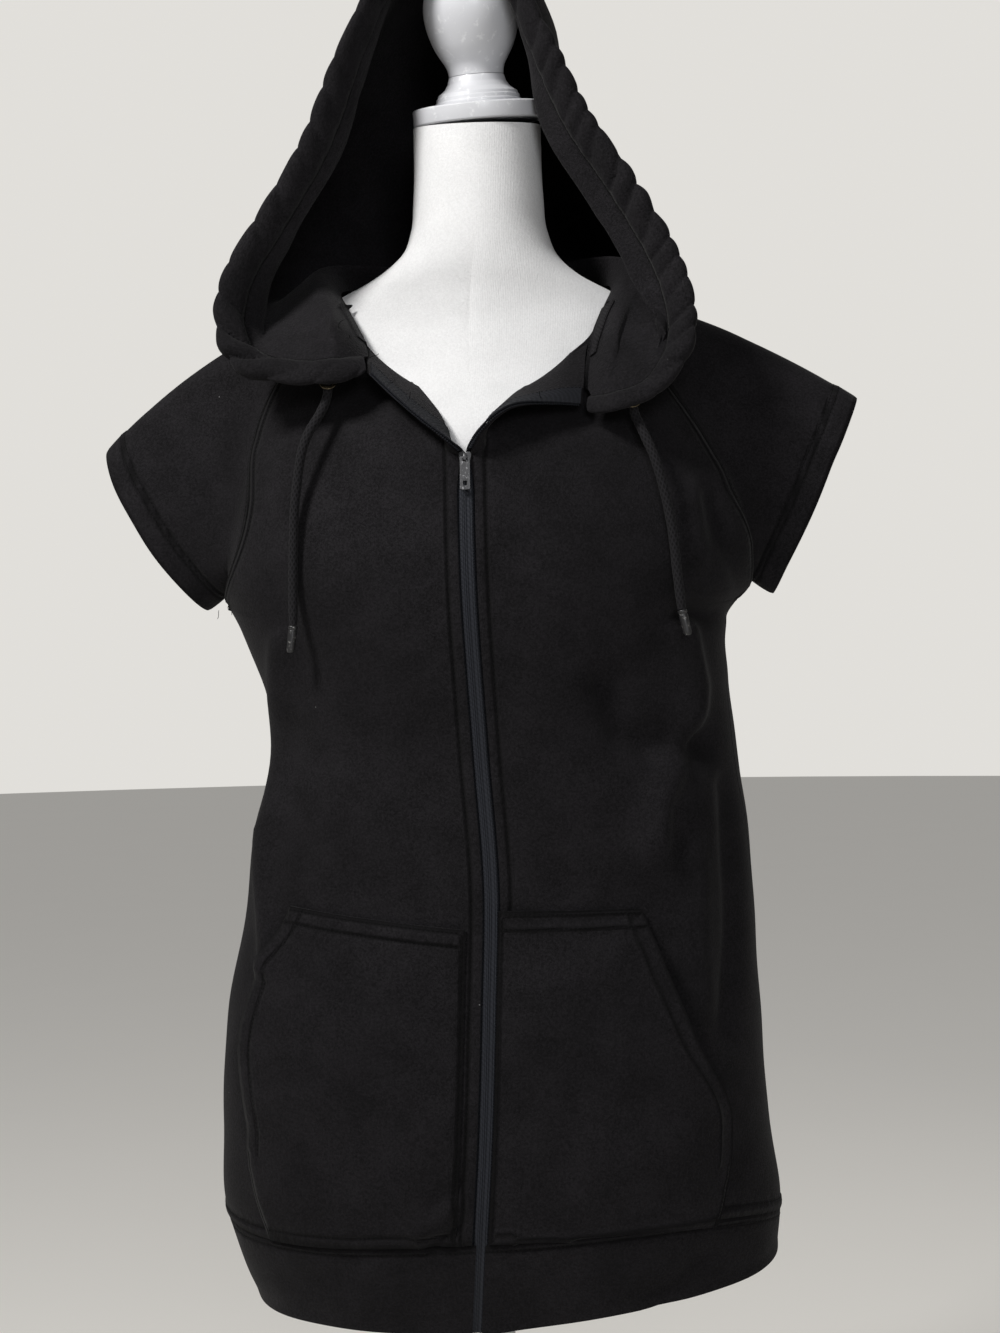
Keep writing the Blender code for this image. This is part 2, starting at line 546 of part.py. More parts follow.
def main():
    for obj in list(bpy.data.objects):
        bpy.data.objects.remove(obj, do_unlink=True)

    fleece = material("black_fleece", (0.012, 0.0125, 0.014), 0.95)
    tape = material("zip_tape", (0.02, 0.022, 0.03), 0.8)
    coil = material("zip_coil", (0.03, 0.03, 0.034), 0.4)
    black_metal = material("black_metal", (0.02, 0.02, 0.022), 0.35, 0.8)
    bright_metal = material("bright_metal", (0.75, 0.75, 0.76), 0.25, 1.0)
    braid = material("cord_braid", (0.015, 0.015, 0.017), 0.85)
    form_cloth = material("form_cloth", (0.72, 0.72, 0.71), 0.9)
    cap_paint = material("form_cap", (0.6, 0.6, 0.61), 0.45)
    stand = material("form_stand", (0.55, 0.55, 0.56), 0.35, 0.6)

    # The dress form, its neck cap and its stand.
    turn = np.arange(0, 360, 360 / 28)
    levels = np.concatenate([[-440, -425], np.linspace(-380, 100, 11), [135], np.linspace(165, 335, 12), [415]])
    rings = []
    for z in levels:
        row = {key: along(FORM, "z", key, z) for key in FORM}
        x, y = section(turn, row["half"], row["front"], row["back"], row["round_front"], row["round_back"])
        rings.append(np.stack([x + along(LEAN_FORM, "z", "x", z), y, z + y * math.tan(NECK_TILT) * max(z - 335, 0) / 80], -1))
    stack("form_torso", rings, form_cloth)
    neck = 415.0
    lean = math.radians(-3)
    cap = [(0.0, 2.9)] + [(r, z + 2.6) for z, r in zip(CAP["z"], CAP["r"])] + [(0.0, CAP["z"][-1] + 2.6)]
    turned("form_neck_cap", cap, cap_paint, lean, at=(0, 0, neck), tilt=NECK_TILT)
    profile = [(0.0, FINIAL["z"][0] + 2.6)] + [(r, z + 2.6) for z, r in zip(FINIAL["z"], FINIAL["r"])] + [(0.0, 122.2)]
    turned("form_finial", profile, cap_paint, lean, at=(0, 0, neck), tilt=NECK_TILT)
    turned("form_pole", [(0, 22.3 - WAIST), (POLE_R, 22.3 - WAIST), (POLE_R, -440.3), (0, -440.3)], stand, segments=24)
    turned("form_base", [(0, -WAIST), (BASE_R - 3, -WAIST), (BASE_R, 3 - WAIST), (BASE_R, 8 - WAIST), (BASE_R - 6, 12 - WAIST), (40, 22 - WAIST), (0, 22 - WAIST)], stand, segments=44)

    # Panels: every grid first, then the normals that meet at seams, then the walls.
    fronts = {side: front_grid(side) for side in (-1, 1)}
    back = back_grid()
    facing = {}
    for side in (-1, 1):
        facing[side] = normals(fronts[side]) * side
    facing["back"] = normals(back)
    seams = Seams()
    for side in (-1, 1):
        seams.add(fronts[side], facing[side])
    seams.add(back, facing["back"])
    loops, sleeves, hoods, hood_facing, sleeve_facing = {}, {}, {}, {}, {}
    for side in (-1, 1):
        loop = armhole(side, fronts[side], back)
        up = np.array([side * 0.15, 0, 1.0])
        own = []
        for j, point in enumerate(loop):
            key = seams.key(point)
            own.append(unit(seams.sums[key]) if key in seams.sums else unit(up + np.array([0, (j - HIGH_ROWS - SLEEVE_TOP / 2) * 0.1, 0])))
        own = np.array(own)
        sleeves[side] = sleeve_grid(side, loop, own)
        way = normals(sleeves[side], closed=True)
        sleeve_facing[side] = way * np.sign((way[3, HIGH_ROWS + 2] * np.array([0, 0, 1])).sum())
        seams.add(sleeves[side], sleeve_facing[side], closed=True)
        # The neckline that the hood is sewn to: from behind the casing along the front, sleeve and back.
        over = loop[HIGH_ROWS:HIGH_ROWS + SLEEVE_TOP + 1]
        rear = back[-1, :BACK_HALF + 1] if side > 0 else back[-1, BACK_HALF:][::-1]
        rim = np.concatenate([fronts[side][-1, 3:], over[1:], rear[1:]])
        hoods[side] = hood_grid(side, rim)
        way = normals(hoods[side]) * side
        hood_facing[side] = way
        seams.add(hoods[side], way)

    # The band goes round from zip edge to zip edge.
    first = float(locate(zip_x(-430.0) + ZIP_HALF, -430.0)[0])
    last = 360 + float(locate(zip_x(-430.0) - ZIP_HALF, -430.0)[0])
    around = np.concatenate([[first], np.linspace(first + 9, last - 9, 33), [last]])
    share = np.linspace(0, 1, BAND_ROWS + 1)[:, None]
    level = along(HEM, "turn", "z", around % 360) * (1 - share) + along(BAND_SEAM, "turn", "z", around % 360) * share
    band = body(around[None] + 0 * level, level)
    edge_x = zip_x(level[:, 0])
    for column, side in ((0, 1), (-1, -1)):
        band[:, column] = body(*locate(zip_x(level[:, column]) + side * ZIP_HALF, level[:, column]))
    facing_band = normals(band)

    for side, label in ((-1, "left"), (1, "right")):
        grid = fronts[side]
        way = seams.share(grid, facing[side])
        inner = pulled_in(pulled_in(grid, ("bottom",)), ("top", "last"), 0.5)
        wall("front_" + label, inner, inner + way * FLEECE, fleece)
        grid = sleeves[side]
        way = seams.share(grid, sleeve_facing[side], closed=True)
        step = np.arange(len(grid[0]))
        under = np.clip(1 - np.minimum(step, len(step) - step) / 3, 0, 1)[:, None]
        inner = grid.copy()
        inner[0] += unit(grid[1] - grid[0]) * (1.0 + 0.8 * under)
        thick = np.full((len(grid), 1, 1), FLEECE)
        wall("sleeve_" + label, inner, inner + way * thick, fleece, closed=True)
        grid = hoods[side]
        way = seams.share(grid, hood_facing[side])
        inner = pulled_in(grid, ("bottom", "last"))
        inner[0, :4] += unit(grid[1, :4] - grid[0, :4]) * 1.5
        way[0, 1:4] *= 0.6
        wall("hood_" + label, inner, inner + way * FLEECE, fleece)
    way = seams.share(back, facing["back"])
    inner = pulled_in(pulled_in(back, ("bottom", "top")), ("first", "last"), 0.5)
    wall("back", inner, inner + way * FLEECE, fleece)
    inner = pulled_in(band, ("top",))
    wall("hem_band", inner, inner + facing_band * BAND_WALL, fleece)

    # The casings: flattened tubes round the drawcord, open at their ends.
    for side, label in ((-1, "left"), (1, "right")):
        v = np.concatenate([[0.26, 0.55], np.linspace(1, 9, 20), [9.4, 9.75, 10]])
        centre, ahead, d, n = casing_frame(side, v)
        a = np.radians(np.arange(0, 360, 45) + 22.5)[None, :, None]
        swell = (0.94 + 0.06 * np.sin(np.arange(len(v)) * 2.1))[:, None, None]
        oval = lambda half, deep: centre[:, None] + d[:, None] * half * np.sign(np.cos(a)) * np.abs(np.cos(a)) ** 0.85 + n[:, None] * deep * swell * np.sin(a)
        outer, inside = oval(CASING_HALF, CASING_DEEP), oval(CASING_HALF - CASING_WALL, CASING_DEEP - CASING_WALL)
        for face in (outer, inside):
            face[-1, :, 0] = EDGE[side]["x"][-1] + side * SEAM / 2
        made = wall("casing_" + label, inside, outer, fleece, closed=True)
        # The eyelet's hole, a cutter from the hollow out through the visible face.
        route = CORD[side]
        fine = np.linspace(1, 2.5, 151)
        spot = fine[np.argmin(np.linalg.norm(point_along(EDGE[side], "v", fine)[:, 0::2] - point_along(route, "at", 0)[0::2], axis=-1))]
        start, _, across, axis = (item[0] for item in casing_frame(side, spot))
        start = start - across * 3
        cut = bmesh.new()
        bmesh.ops.create_cone(cut, cap_ends=True, segments=20, radius1=4.3, radius2=4.3, depth=22,
                              matrix=Matrix.Translation(Vector(start + axis * 11)) @ Vector(axis).to_track_quat("Z", "Y").to_matrix().to_4x4())
        cutter = finish("cut_" + label, cut, fleece, smooth=False)
        cutter.hide_render = True
        cutter.display_type = "WIRE"
        hole = made.modifiers.new("eyelet_hole", "BOOLEAN")
        hole.operation = "DIFFERENCE"
        hole.object = cutter
        # Eyelet ring.
        ring = bmesh.new()
        turn_ring = Matrix.Translation(Vector(start + axis * (CASING_DEEP + 0.1))) @ Vector(axis).to_track_quat("Z", "Y").to_matrix().to_4x4()
        shape = [(4.2, 0), (6.4, 0), (6.6, 0.6), (6.0, 1.2), (4.6, 1.3), (4.2, 0.8)]
        verts = [ring.verts.new((r, 0, h)) for r, h in shape]
        for p, q in zip(verts, verts[1:] + verts[:1]):
            ring.edges.new((p, q))
        bmesh.ops.spin(ring, geom=ring.verts[:] + ring.edges[:], cent=(0, 0, 0), axis=(0, 0, 1), angle=math.tau, steps=24)
        bmesh.ops.remove_doubles(ring, verts=ring.verts[:], dist=1e-4)
        bmesh.ops.transform(ring, matrix=turn_ring, verts=ring.verts[:])
        finish("eyelet_" + label, ring, bright_metal)
        # Drawcord and its metal tip.
        at = np.concatenate([[0, 0.4], np.linspace(0.8, route["at"][-1], 14)])
        points = point_along(route, "at", at)
        points[0], points[1] = start + axis * 0.2, start + axis * 8.6
        curve = bpy.data.curves.new("drawcord_" + label, "CURVE")
        curve.dimensions = "3D"
        curve.bevel_depth = CORD_R * MM
        curve.bevel_resolution = 2
        curve.use_fill_caps = True
        line = curve.splines.new("POLY")
        line.points.add(len(points) - 1)
        for spot, point in zip(line.points, points):
            spot.co = (point[0] * MM, point[1] * MM, (point[2] + WAIST) * MM, 1)
        curve.materials.append(braid)
        cord = bpy.data.objects.new("drawcord_" + label, curve)
        bpy.context.collection.objects.link(cord)
        end = points[-1]
        way = unit(np.array(AGLET[side], float))
        length = float(np.linalg.norm(AGLET[side]))
        tip = bmesh.new()
        profile = [(0, 0.8), (AGLET_R - 0.4, 0.8), (AGLET_R, 1.3), (AGLET_R, length - 1.2), (AGLET_R - 0.9, length), (0, length)]
        verts = [tip.verts.new((r, 0, h)) for r, h in profile]
        for p, q in zip(verts, verts[1:]):
            tip.edges.new((p, q))
        bmesh.ops.spin(tip, geom=tip.verts[:] + tip.edges[:], cent=(0, 0, 0), axis=(0, 0, 1), angle=math.tau, steps=20)
        bmesh.ops.remove_doubles(tip, verts=tip.verts[:], dist=1e-4)
        bmesh.ops.transform(tip, matrix=Matrix.Translation(Vector(end)) @ Vector(way).to_track_quat("Z", "Y").to_matrix().to_4x4(), verts=tip.verts[:])
        finish("aglet_" + label, tip, bright_metal)

    # Zip tapes: the facing's own points, on its inner side, and a little past its edge.
    for side, label in ((-1, "left"), (1, "right")):
        rows = [band[i, 0 if side > 0 else -1] for i in range(BAND_ROWS)]
        strips, ways = [], []
        for i in range(BAND_ROWS):
            z = rows[i][2]
            x = zip_x(z) + side * np.array([ZIP_HALF, ZIP_HALF + 6, ZIP_HALF + TAPE_REACH])
            strips.append(body(*locate(x, z)))
            ways.append(np.repeat([facing_band[i, 0 if side > 0 else -1]], 3, 0))
        strips, ways = np.array(strips), np.array(ways)
        strips = np.concatenate([strips, fronts[side][:, :3]])
        ways = np.concatenate([ways, facing[side][:, :3]])
        past = strips[:, :1] + unit(strips[:, :1] - strips[:, 1:2]) * (ZIP_HALF - 0.2)
        tape_grid = np.concatenate([past, strips], 1)
        tape_ways = np.concatenate([ways[:, :1], ways], 1)
        tape_grid = pulled_in(tape_grid, ("top",), 2.2)
        wall("zip_tape_" + label, tape_grid - tape_ways * (SEAM + TAPE_WALL), tape_grid - tape_ways * SEAM, tape)
        # The open teeth lie past the edge, on the tape, above the slider.
        count = int((V < 1.5).sum()) + BAND_ROWS
        edge = strips[count:, 0]
        way = unit(edge - strips[count:, 1])
        teeth = np.stack([edge + way * 0.6, edge + way * 3.0], 1)
        teeth[0] += (teeth[1] - teeth[0]) * 0.35
        teeth = pulled_in(teeth, ("top",), 0.6)
        up = np.stack([ways[count:, 0], ways[count:, 0]], 1)
        wall("zip_teeth_" + label, teeth, teeth + up * 2.2, coil)

    # The closed chain, the slider and its tab.
    low = V <= 1.5
    edges = [np.concatenate([band[:BAND_ROWS, 0 if side > 0 else -1], fronts[side][low, 0]]) for side in (-1, 1)]
    across = unit(edges[1] - edges[0])
    chain = np.stack([edges[0] + across * (ZIP_HALF - CHAIN_HALF), (edges[0] + edges[1]) / 2, edges[1] - across * (ZIP_HALF - CHAIN_HALF)], 1)
    chain[-1] += unit(chain[-2] - chain[-1]) * 4
    wall("zip_chain", chain, chain + np.array([0, -2.2, 0]), coil)

    centre = body(*locate(zip_x(SLIDER_LEVEL - 6), SLIDER_LEVEL - 6))
    below = body(*locate(zip_x(SLIDER_LEVEL - 26), SLIDER_LEVEL - 26))
    rise = unit(np.array([0, centre[1] - below[1], centre[2] - below[2]]))
    outward = np.array([0, -rise[2], rise[1]])
    base = centre + outward * 3.0
    frame = Matrix(((1, 0, 0, base[0]), (0, rise[1], outward[1], base[1]), (0, rise[2], outward[2], base[2]), (0, 0, 0, 1)))

    def block(bm, x, w, o, taper=1.0):
        """A box across x, along the chain w and outwards o, its lower end narrowed by taper."""
        made = bmesh.ops.create_cube(bm, size=1)["verts"]
        for vert in made:
            low = vert.co.y < 0
            vert.co = Vector(((x[0] + x[1]) / 2 + vert.co.x * (x[1] - x[0]) * (taper if low else 1),
                              (w[0] + w[1]) / 2 + vert.co.y * (w[1] - w[0]), (o[0] + o[1]) / 2 + vert.co.z * (o[1] - o[0])))

    def piece(name, x, w, o, taper=1.0):
        bm = bmesh.new()
        block(bm, x, w, o, taper)
        bmesh.ops.transform(bm, matrix=frame, verts=bm.verts[:])
        return finish(name, bm, black_metal, smooth=False)

    def combine(obj, other, operation):
        """A union or a difference with another object, which is then a helper."""
        other.hide_render = True
        other.display_type = "WIRE"
        step = obj.modifiers.new(other.name, "BOOLEAN")
        step.operation = operation
        step.object = other
        return obj

    crown = combine(piece("crown", (-1.1, 1.1), (-1.2, 4.6), (0.8, 4.9)), piece("crown_gap", (-2, 2), (0, 3.4), (-1, 3.7)), "DIFFERENCE")
    combine(piece("zip_slider", (-4.4, 4.4), (-5.0, 6.0), (0.0, 1.5), 0.72), crown, "UNION")
    hinge = frame @ Vector((0, 1.7, 2.6))
    bm = bmesh.new()
    bmesh.ops.create_cone(bm, cap_ends=True, segments=16, radius1=0.75, radius2=0.75, depth=5.0,
                          matrix=Matrix.Translation((0, 1.7, 2.6)) @ Matrix.Rotation(math.pi / 2, 4, "Y"))
    bmesh.ops.transform(bm, matrix=frame, verts=bm.verts[:])
    bar = finish("pull_tab_bar", bm, black_metal, smooth=False)
    tab = piece("pull_tab", (-3.6, 3.6), (-22.0, 2.45), (1.9, 3.3))
    combine(tab, piece("tab_window", (-1.6, 1.6), (-2.7, 4.0), (1.0, 4.0)), "DIFFERENCE")
    combine(tab, piece("tab_hole", (-1.4, 1.4), (-19.0, -15.6), (1.0, 4.0)), "DIFFERENCE")
    combine(tab, bar, "UNION")
    print("HINGE", [round(c * MM, 6) for c in (hinge.x, hinge.y, hinge.z + WAIST)])

    # Kangaroo pocket: its edges lie on the front, its slanted mouth stands open.
    for side, label in ((-1, "left"), (1, "right")):
        rows, columns = 10, 7
        v = np.linspace(0, 1, rows + 1)
        outer = np.stack(locate(along(POCKET_EDGE[side], "v", "x", v), along(POCKET_EDGE[side], "v", "z", v)), -1)
        z = -405 + (POCKET_TOP[side] + 405) * v
        inner = np.stack(locate(zip_x(z) + POCKET_INNER[side], z), -1)
        turn = np.linspace(inner[0, 0], outer[0, 0], columns + 1)
        bottom = np.stack([turn, along(BAND_SEAM, "turn", "z", turn % 360) + 1.0], -1)
        inner[0], outer[0] = bottom[0], bottom[-1]
        top = np.linspace(inner[-1], outer[-1], columns + 1)
        patch = coons(bottom, top, inner, outer)
        grid = body(patch[..., 0], patch[..., 1])
        e = 0.25
        ways = unit(np.cross(body(patch[..., 0] + e, patch[..., 1]) - body(patch[..., 0] - e, patch[..., 1]),
                             body(patch[..., 0], patch[..., 1] + e) - body(patch[..., 0], patch[..., 1] - e)))
        u = np.linspace(0, 1, columns + 1)[None]
        gape = np.clip(np.sin(np.pi * np.clip((v - 0.3) / 0.66, 0, 1)), 0, 1)[:, None]
        lift = FLEECE + 0.8 + POCKET_GAPE * gape * u ** 1.6 + 4.0 * np.sin(np.pi * v)[:, None] * np.sin(np.pi * u)
        inner_face = grid + ways * lift[..., None]
        wall("pocket_" + label, inner_face, inner_face + ways * POCKET_WALL, fleece)


main()
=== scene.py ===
"""Looks of the hooded fleece garment on its dress form.

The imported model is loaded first, and every piece is laid on the same surfaces in
the same frame, worked out in millimetres with heights counted from the waist.
Left and right are those of someone who looks at the front.
"""
import math

import bmesh
import bpy
import numpy as np
from mathutils import Matrix, Vector


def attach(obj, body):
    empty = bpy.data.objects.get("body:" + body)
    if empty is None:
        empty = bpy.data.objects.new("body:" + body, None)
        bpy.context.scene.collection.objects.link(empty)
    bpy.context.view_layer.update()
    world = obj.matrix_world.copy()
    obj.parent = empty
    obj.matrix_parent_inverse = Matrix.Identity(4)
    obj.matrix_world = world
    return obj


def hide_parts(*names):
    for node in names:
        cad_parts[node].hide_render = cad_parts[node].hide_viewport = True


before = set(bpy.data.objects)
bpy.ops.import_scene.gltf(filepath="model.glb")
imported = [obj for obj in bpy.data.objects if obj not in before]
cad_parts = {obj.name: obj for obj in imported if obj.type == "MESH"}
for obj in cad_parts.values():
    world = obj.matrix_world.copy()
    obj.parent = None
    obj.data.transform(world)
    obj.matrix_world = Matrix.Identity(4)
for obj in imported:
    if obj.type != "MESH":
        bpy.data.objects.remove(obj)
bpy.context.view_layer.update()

bl_info = {
    "name": "Hooded Fleece Garment",
    "version": (1, 0, 0),
    "blender": (4, 5, 0),
    "location": "View3D > Sidebar > Garment",
    "description": "Builds a hooded fleece garment with cap sleeves on a limbless dress form",
    "category": "Object",
}

SIDES = ((-1, "left"), (1, "right"))

MM = 0.001
WAIST = 950.0        # height of level 0 above the floor
SEAM = 0.36          # gap left between two pieces at a seam
FLEECE = 2.4         # wall of one layer of fleece
BAND_WALL = 3.0      # the bottom band is folded double
POCKET_WALL = 2.2
TAPE_WALL = 1.0
ZIP_HALF = 3.3       # from the zip's centre to a front's edge
FACING = 15.0        # width of the front's zip facing
TAPE_REACH = 12.5    # how far a tape lies under the facing
CASING_HALF = 12.5
CASING_DEEP = 6.2
CASING_WALL = 2.0
CORD_R = 3.4
AGLET_R = 3.9
SLIDER_LEVEL = 151.0
TOPSTITCH = 10.7     # from a front's edge to the stitching beside the zip
BASE_R = 170.0
POLE_R = 12.5
NECK_BENDS = 335.0   # the form's neck leans forward from here
NECK_TOP = 415.0
NO_STITCH = 0.04     # metres, for places with no stitching near
SHARP_TURN = 0.6     # no stitch where its line turns by more than this
RELIEF = 1.5         # depth of the worn folds, against their table
CLOSED_V = 1.5       # v of the slider: below it the zip is closed


def table(columns, *lines):
    """A short table as one array for each named column."""
    return {name: np.array([line[i] for line in lines], float) for i, name in enumerate(columns.split())}


def along(rows, key, column, at):
    """A column read at any place between the rows, on a smooth curve through them."""
    x, y = rows[key], rows[column]
    step = np.diff(x)
    rise = np.diff(y) / step
    slope = np.empty_like(y)
    slope[1:-1] = (rise[:-1] * step[1:] + rise[1:] * step[:-1]) / (step[1:] + step[:-1])
    slope[0], slope[-1] = rise[0], rise[-1]
    at = np.clip(at, x[0], x[-1])
    i = np.clip(np.searchsorted(x, at, side="right") - 1, 0, len(x) - 2)
    t = (at - x[i]) / step[i]
    return (y[i] * (1 + 2 * t) * (1 - t) ** 2 + slope[i] * step[i] * t * (1 - t) ** 2
            + y[i + 1] * t * t * (3 - 2 * t) - slope[i + 1] * step[i] * t * t * (1 - t))


def point_along(rows, key, at):
    return np.stack([along(rows, key, axis, at) for axis in "xyz"], -1)


# The garment's body, inside face: one row a level. z, tilt and lift set the ring's
# height at the middle, its rise towards the front and its rise at the sides.
BODY = table(
    "level z tilt lift left right front back round_front round_back",
    (-480, -480, 0, 0, 176, 203, 110, 104, 2.3, 2.2),
    (-448, -448, 0, 0, 190, 209, 118, 112, 2.4, 2.2),
    (-405, -405, 0, 0, 204, 213, 126, 118, 2.4, 2.2),
    (-340, -340, 0, 0, 206, 205, 127, 114, 2.4, 2.2),
    (-257, -257, 0, 0, 200, 202, 121, 106, 2.3, 2.2),
    (-180, -180, 0, 0, 186, 198, 115, 96, 2.2, 2.2),
    (-118, -118, 0, 0, 177, 194, 112, 90, 2.2, 2.2),
    (-56, -56, 0, 0, 160, 187, 113, 87, 2.2, 2.2),
    (-10, -10, 0, 0, 169, 182, 119, 88, 2.2, 2.2),
    (32, 32, 0, 0, 185, 182, 125, 92, 2.2, 2.2),
    (60, 60, 0, 0, 198, 202, 127, 95, 2.2, 2.2),
    (125, 125, 0, 0, 196, 204, 122, 98, 2.1, 2.1),
    (170, 165, -6, 4, 190, 190, 115, 95, 1.9, 2.1),
    (215, 206, -26, 22, 170, 165, 100, 86, 1.6, 1.9),
    (262, 246, -52, 40, 112, 104, 76, 70, 1.7, 1.9),
)

# The dress form: a row for each horizontal section.
FORM = table(
    "z half front back round_front round_back",
    (-440, 160, 92, 88, 2.1, 2.1),
    (-425, 168, 100, 95, 2.1, 2.1),
    (-340, 174, 106, 100, 2.1, 2.1),
    (-260, 170, 104, 94, 2.1, 2.1),
    (-180, 155, 97, 82, 2.1, 2.1),
    (-110, 144, 94, 75, 2.1, 2.1),
    (-56, 141, 97, 73, 2.1, 2.1),
    (0, 148, 106, 76, 2.1, 2.1),
    (50, 158, 113, 81, 2.1, 2.1),
    (95, 165, 114, 85, 2.1, 2.1),
    (135, 168, 110, 86, 2.1, 2.1),
    (168, 170, 102, 84, 1.95, 2.0),
    (197, 169, 82, 79, 1.7, 1.9),
    (220, 168, 68, 71, 1.5, 1.8),
    (240, 160.5, 60, 64, 1.4, 1.6),
    (256, 149, 55, 60, 1.35, 1.5),
    (270, 130.5, 52, 56, 1.35, 1.45),
    (284, 108, 50, 53, 1.5, 1.5),
    (298, 80.5, 50, 51, 1.8, 1.8),
    (314, 61, 50, 51, 2, 2),
    (332, 53, 50, 51, 2, 2),
    (360, 50, 49, 50, 2, 2),
    (415, 49, 49, 49, 2, 2),
)

LEAN_FORM = table("z x", (180, 0), (215, -4.1), (285, -4.1),
                  (320, 0))     # its shoulders lie a little to the left

# Front view places of the edges and seams: v runs 0 at the band seam, 1 at the
# underarm, 2 at the neckline.
ZIP = table("z x", (-475, -10), (-405, -5), (-340, -0.5), (-234, 4), (-164, 6), (-59, 0), (46, -5),
            (155, -6.5))
BAND_SEAM = table("turn z", (0, -405), (40, -397), (90, -413), (180, -410), (270, -409), (320, -412),
                  (360, -405))
HEM = table("turn z", (0, -472), (40, -452), (90, -442), (180, -466), (270, -472), (320, -473), (360, -472))
ZIP_V = table("v z", (0, -405), (0.45, -200), (1, 20), (1.5, SLIDER_LEVEL))
FOLD = {
    -1: table("v x z", (1.5, -24.8, 151), (1.62, -25, 172), (1.78, -44, 204), (1.9, -63, 226), (2, -82, 239)),
    1: table("v x z", (1.5, 11.8, 151), (1.62, 17, 176), (1.78, 36, 204), (1.9, 62, 225), (2, 82, 236)),
}
FREE = {   # the front's free edge above the slider
    -1: table("v x y z", (1.5, -9.8, -121, 151), (1.6, -18, -129, 160), (1.75, -38, -127, 177),
              (1.9, -61, -113, 199), (2, -77, -99, 216)),
    1: table("v x y z", (1.5, -3.2, -121, 151), (1.6, 5, -130, 165), (1.75, 27, -129, 183),
             (1.9, 57, -116, 187), (2, 77, -103, 187)),
}
SIDE_SEAM = table("v left right", (0, -90, 90), (0.4, -90, 86), (0.64, -91, 78), (0.84, -91, 75),
                  (0.94, -90, 79), (1, -90, 85))
RAGLAN_FRONT = {
    -1: table("v x z", (1, -197, 50), (1.15, -180, 84), (1.35, -169, 120), (1.58, -167, 166),
              (1.78, -147, 212), (2, -97, 266)),
    1: table("v x z", (1, 203, 52), (1.15, 200, 86), (1.35, 184, 124), (1.58, 163, 165), (1.78, 136, 203),
             (2, 93, 266)),
}
RAGLAN_BACK = {
    -1: table("v x z", (1, -197, 50), (1.15, -188, 83), (1.4, -172, 130), (1.65, -152, 185),
              (1.85, -124, 240), (2, -88, 282)),
    1: table("v x z", (1, 203, 52), (1.15, 196, 84), (1.4, 175, 130), (1.65, 150, 185), (1.85, 120, 240),
             (2, 86, 282)),
}
# The neckline seam: 0 the fold of the front, 1 and 3 the two raglans, 2 the shoulder, 4 the nape.
NECK = {
    -1: table("at x y z", (0, -82, -60, 239), (1, -97, -32, 270), (2, -107, 6, 292), (3, -86, 46, 300),
              (4, 2, 68, 305)),
    1: table("at x y z", (0, 82, -60, 236), (1, 94, -32, 268), (2, 100, 6, 290), (3, 84, 46, 299),
             (4, 2, 68, 305)),
}
# The hood. Its edge is the casing's centre line; the other columns give the ring from
# the edge: the way it leaves (dx inwards, dy, dz), the side, the centre seam, the sweep into it.
EDGE = {
    -1: table("v x y z", (0, -75, -89, 221), (1, -98, -106, 213), (2, -131, -104, 213), (3, -164, -93, 225),
              (4, -179, -80, 253),
              (5, -173, -74, 290), (6, -146, -70, 335), (7, -115, -67, 388), (8, -88, -64, 457),
              (9, -57, -60, 517), (9.6, -33, -58, 541), (10, -15.5, -57, 547)),
    1: table("v x y z", (0, 78, -93, 190), (1, 98, -108, 190), (2, 126, -104, 201), (3, 147, -93, 230),
             (4, 147, -81, 265),
             (5, 134, -74, 303), (6, 107, -70, 351), (7, 75, -67, 402), (8, 48, -64, 464), (9, 23, -60, 516),
             (9.6, 1, -58, 541), (10, -15.5, -57, 547)),
}
HOOD = table(
    "v dx dy dz left right side_y side_z back_y back_z sweep",
    (1, 2, 40, 90, 128, 120, 2, 308, 82, 316, 70),
    (2, 0, 55, 90, 155, 142, 8, 288, 102, 313, 80),
    (3, 30, 62, 60, 166, 146, 20, 294, 128, 310, 95),
    (4, 80, 62, 5, 160, 136, 35, 326, 150, 332, 110),
    (5, 85, 62, -10, 152, 124, 38, 366, 155, 375, 110),
    (6, 80, 60, -10, 130, 98, 36, 412, 147, 425, 100),
    (7, 70, 56, -12, 101, 67, 30, 455, 125, 472, 85),
    (8, 34, 50, -8, 72, 56, 18, 500, 85, 517, 65),
    (9, 8, 45, 0, 46, 32, -12, 536, 25, 549, 40),
    (10, 3, 5, 1, 16, -11, -51, 548, -45, 549, 5),
)
CENTRE = table("v x", (0, 2), (4, -3), (10, -15.5))
# The cuffs: the ring's top and bottom, half its depth, how far its front bows out.
CUFF = {
    -1: {"top": (-290, 5, 179), "bottom": (-214, 0, 47), "half": 34, "bow": 14, "droop": 0.55},
    1: {"top": (287, 5, 204), "bottom": (219, 0, 50), "half": 34, "bow": 2, "droop": 0.25},
}
POCKET_EDGE = {
    -1: table("v x z", (0, -161, -406), (0.12, -171, -374), (0.36, -171.5, -320), (0.56, -171, -272),
              (0.74, -161, -231), (0.93, -144, -186), (1, -139, -172)),
    1: table("v x z", (0, 160, -404), (0.1, 165, -388), (0.36, 169, -323), (0.56, 143, -269),
             (0.74, 126, -222), (0.93, 115, -186), (1, 112.5, -175)),
}
POCKET_TOP = {-1: -186.0, 1: -173.0}     # level where the pocket meets the zip
POCKET_INNER = {-1: -18.0, 1: 5.0}       # from the zip's centre
POCKET_GAPE = 11.0
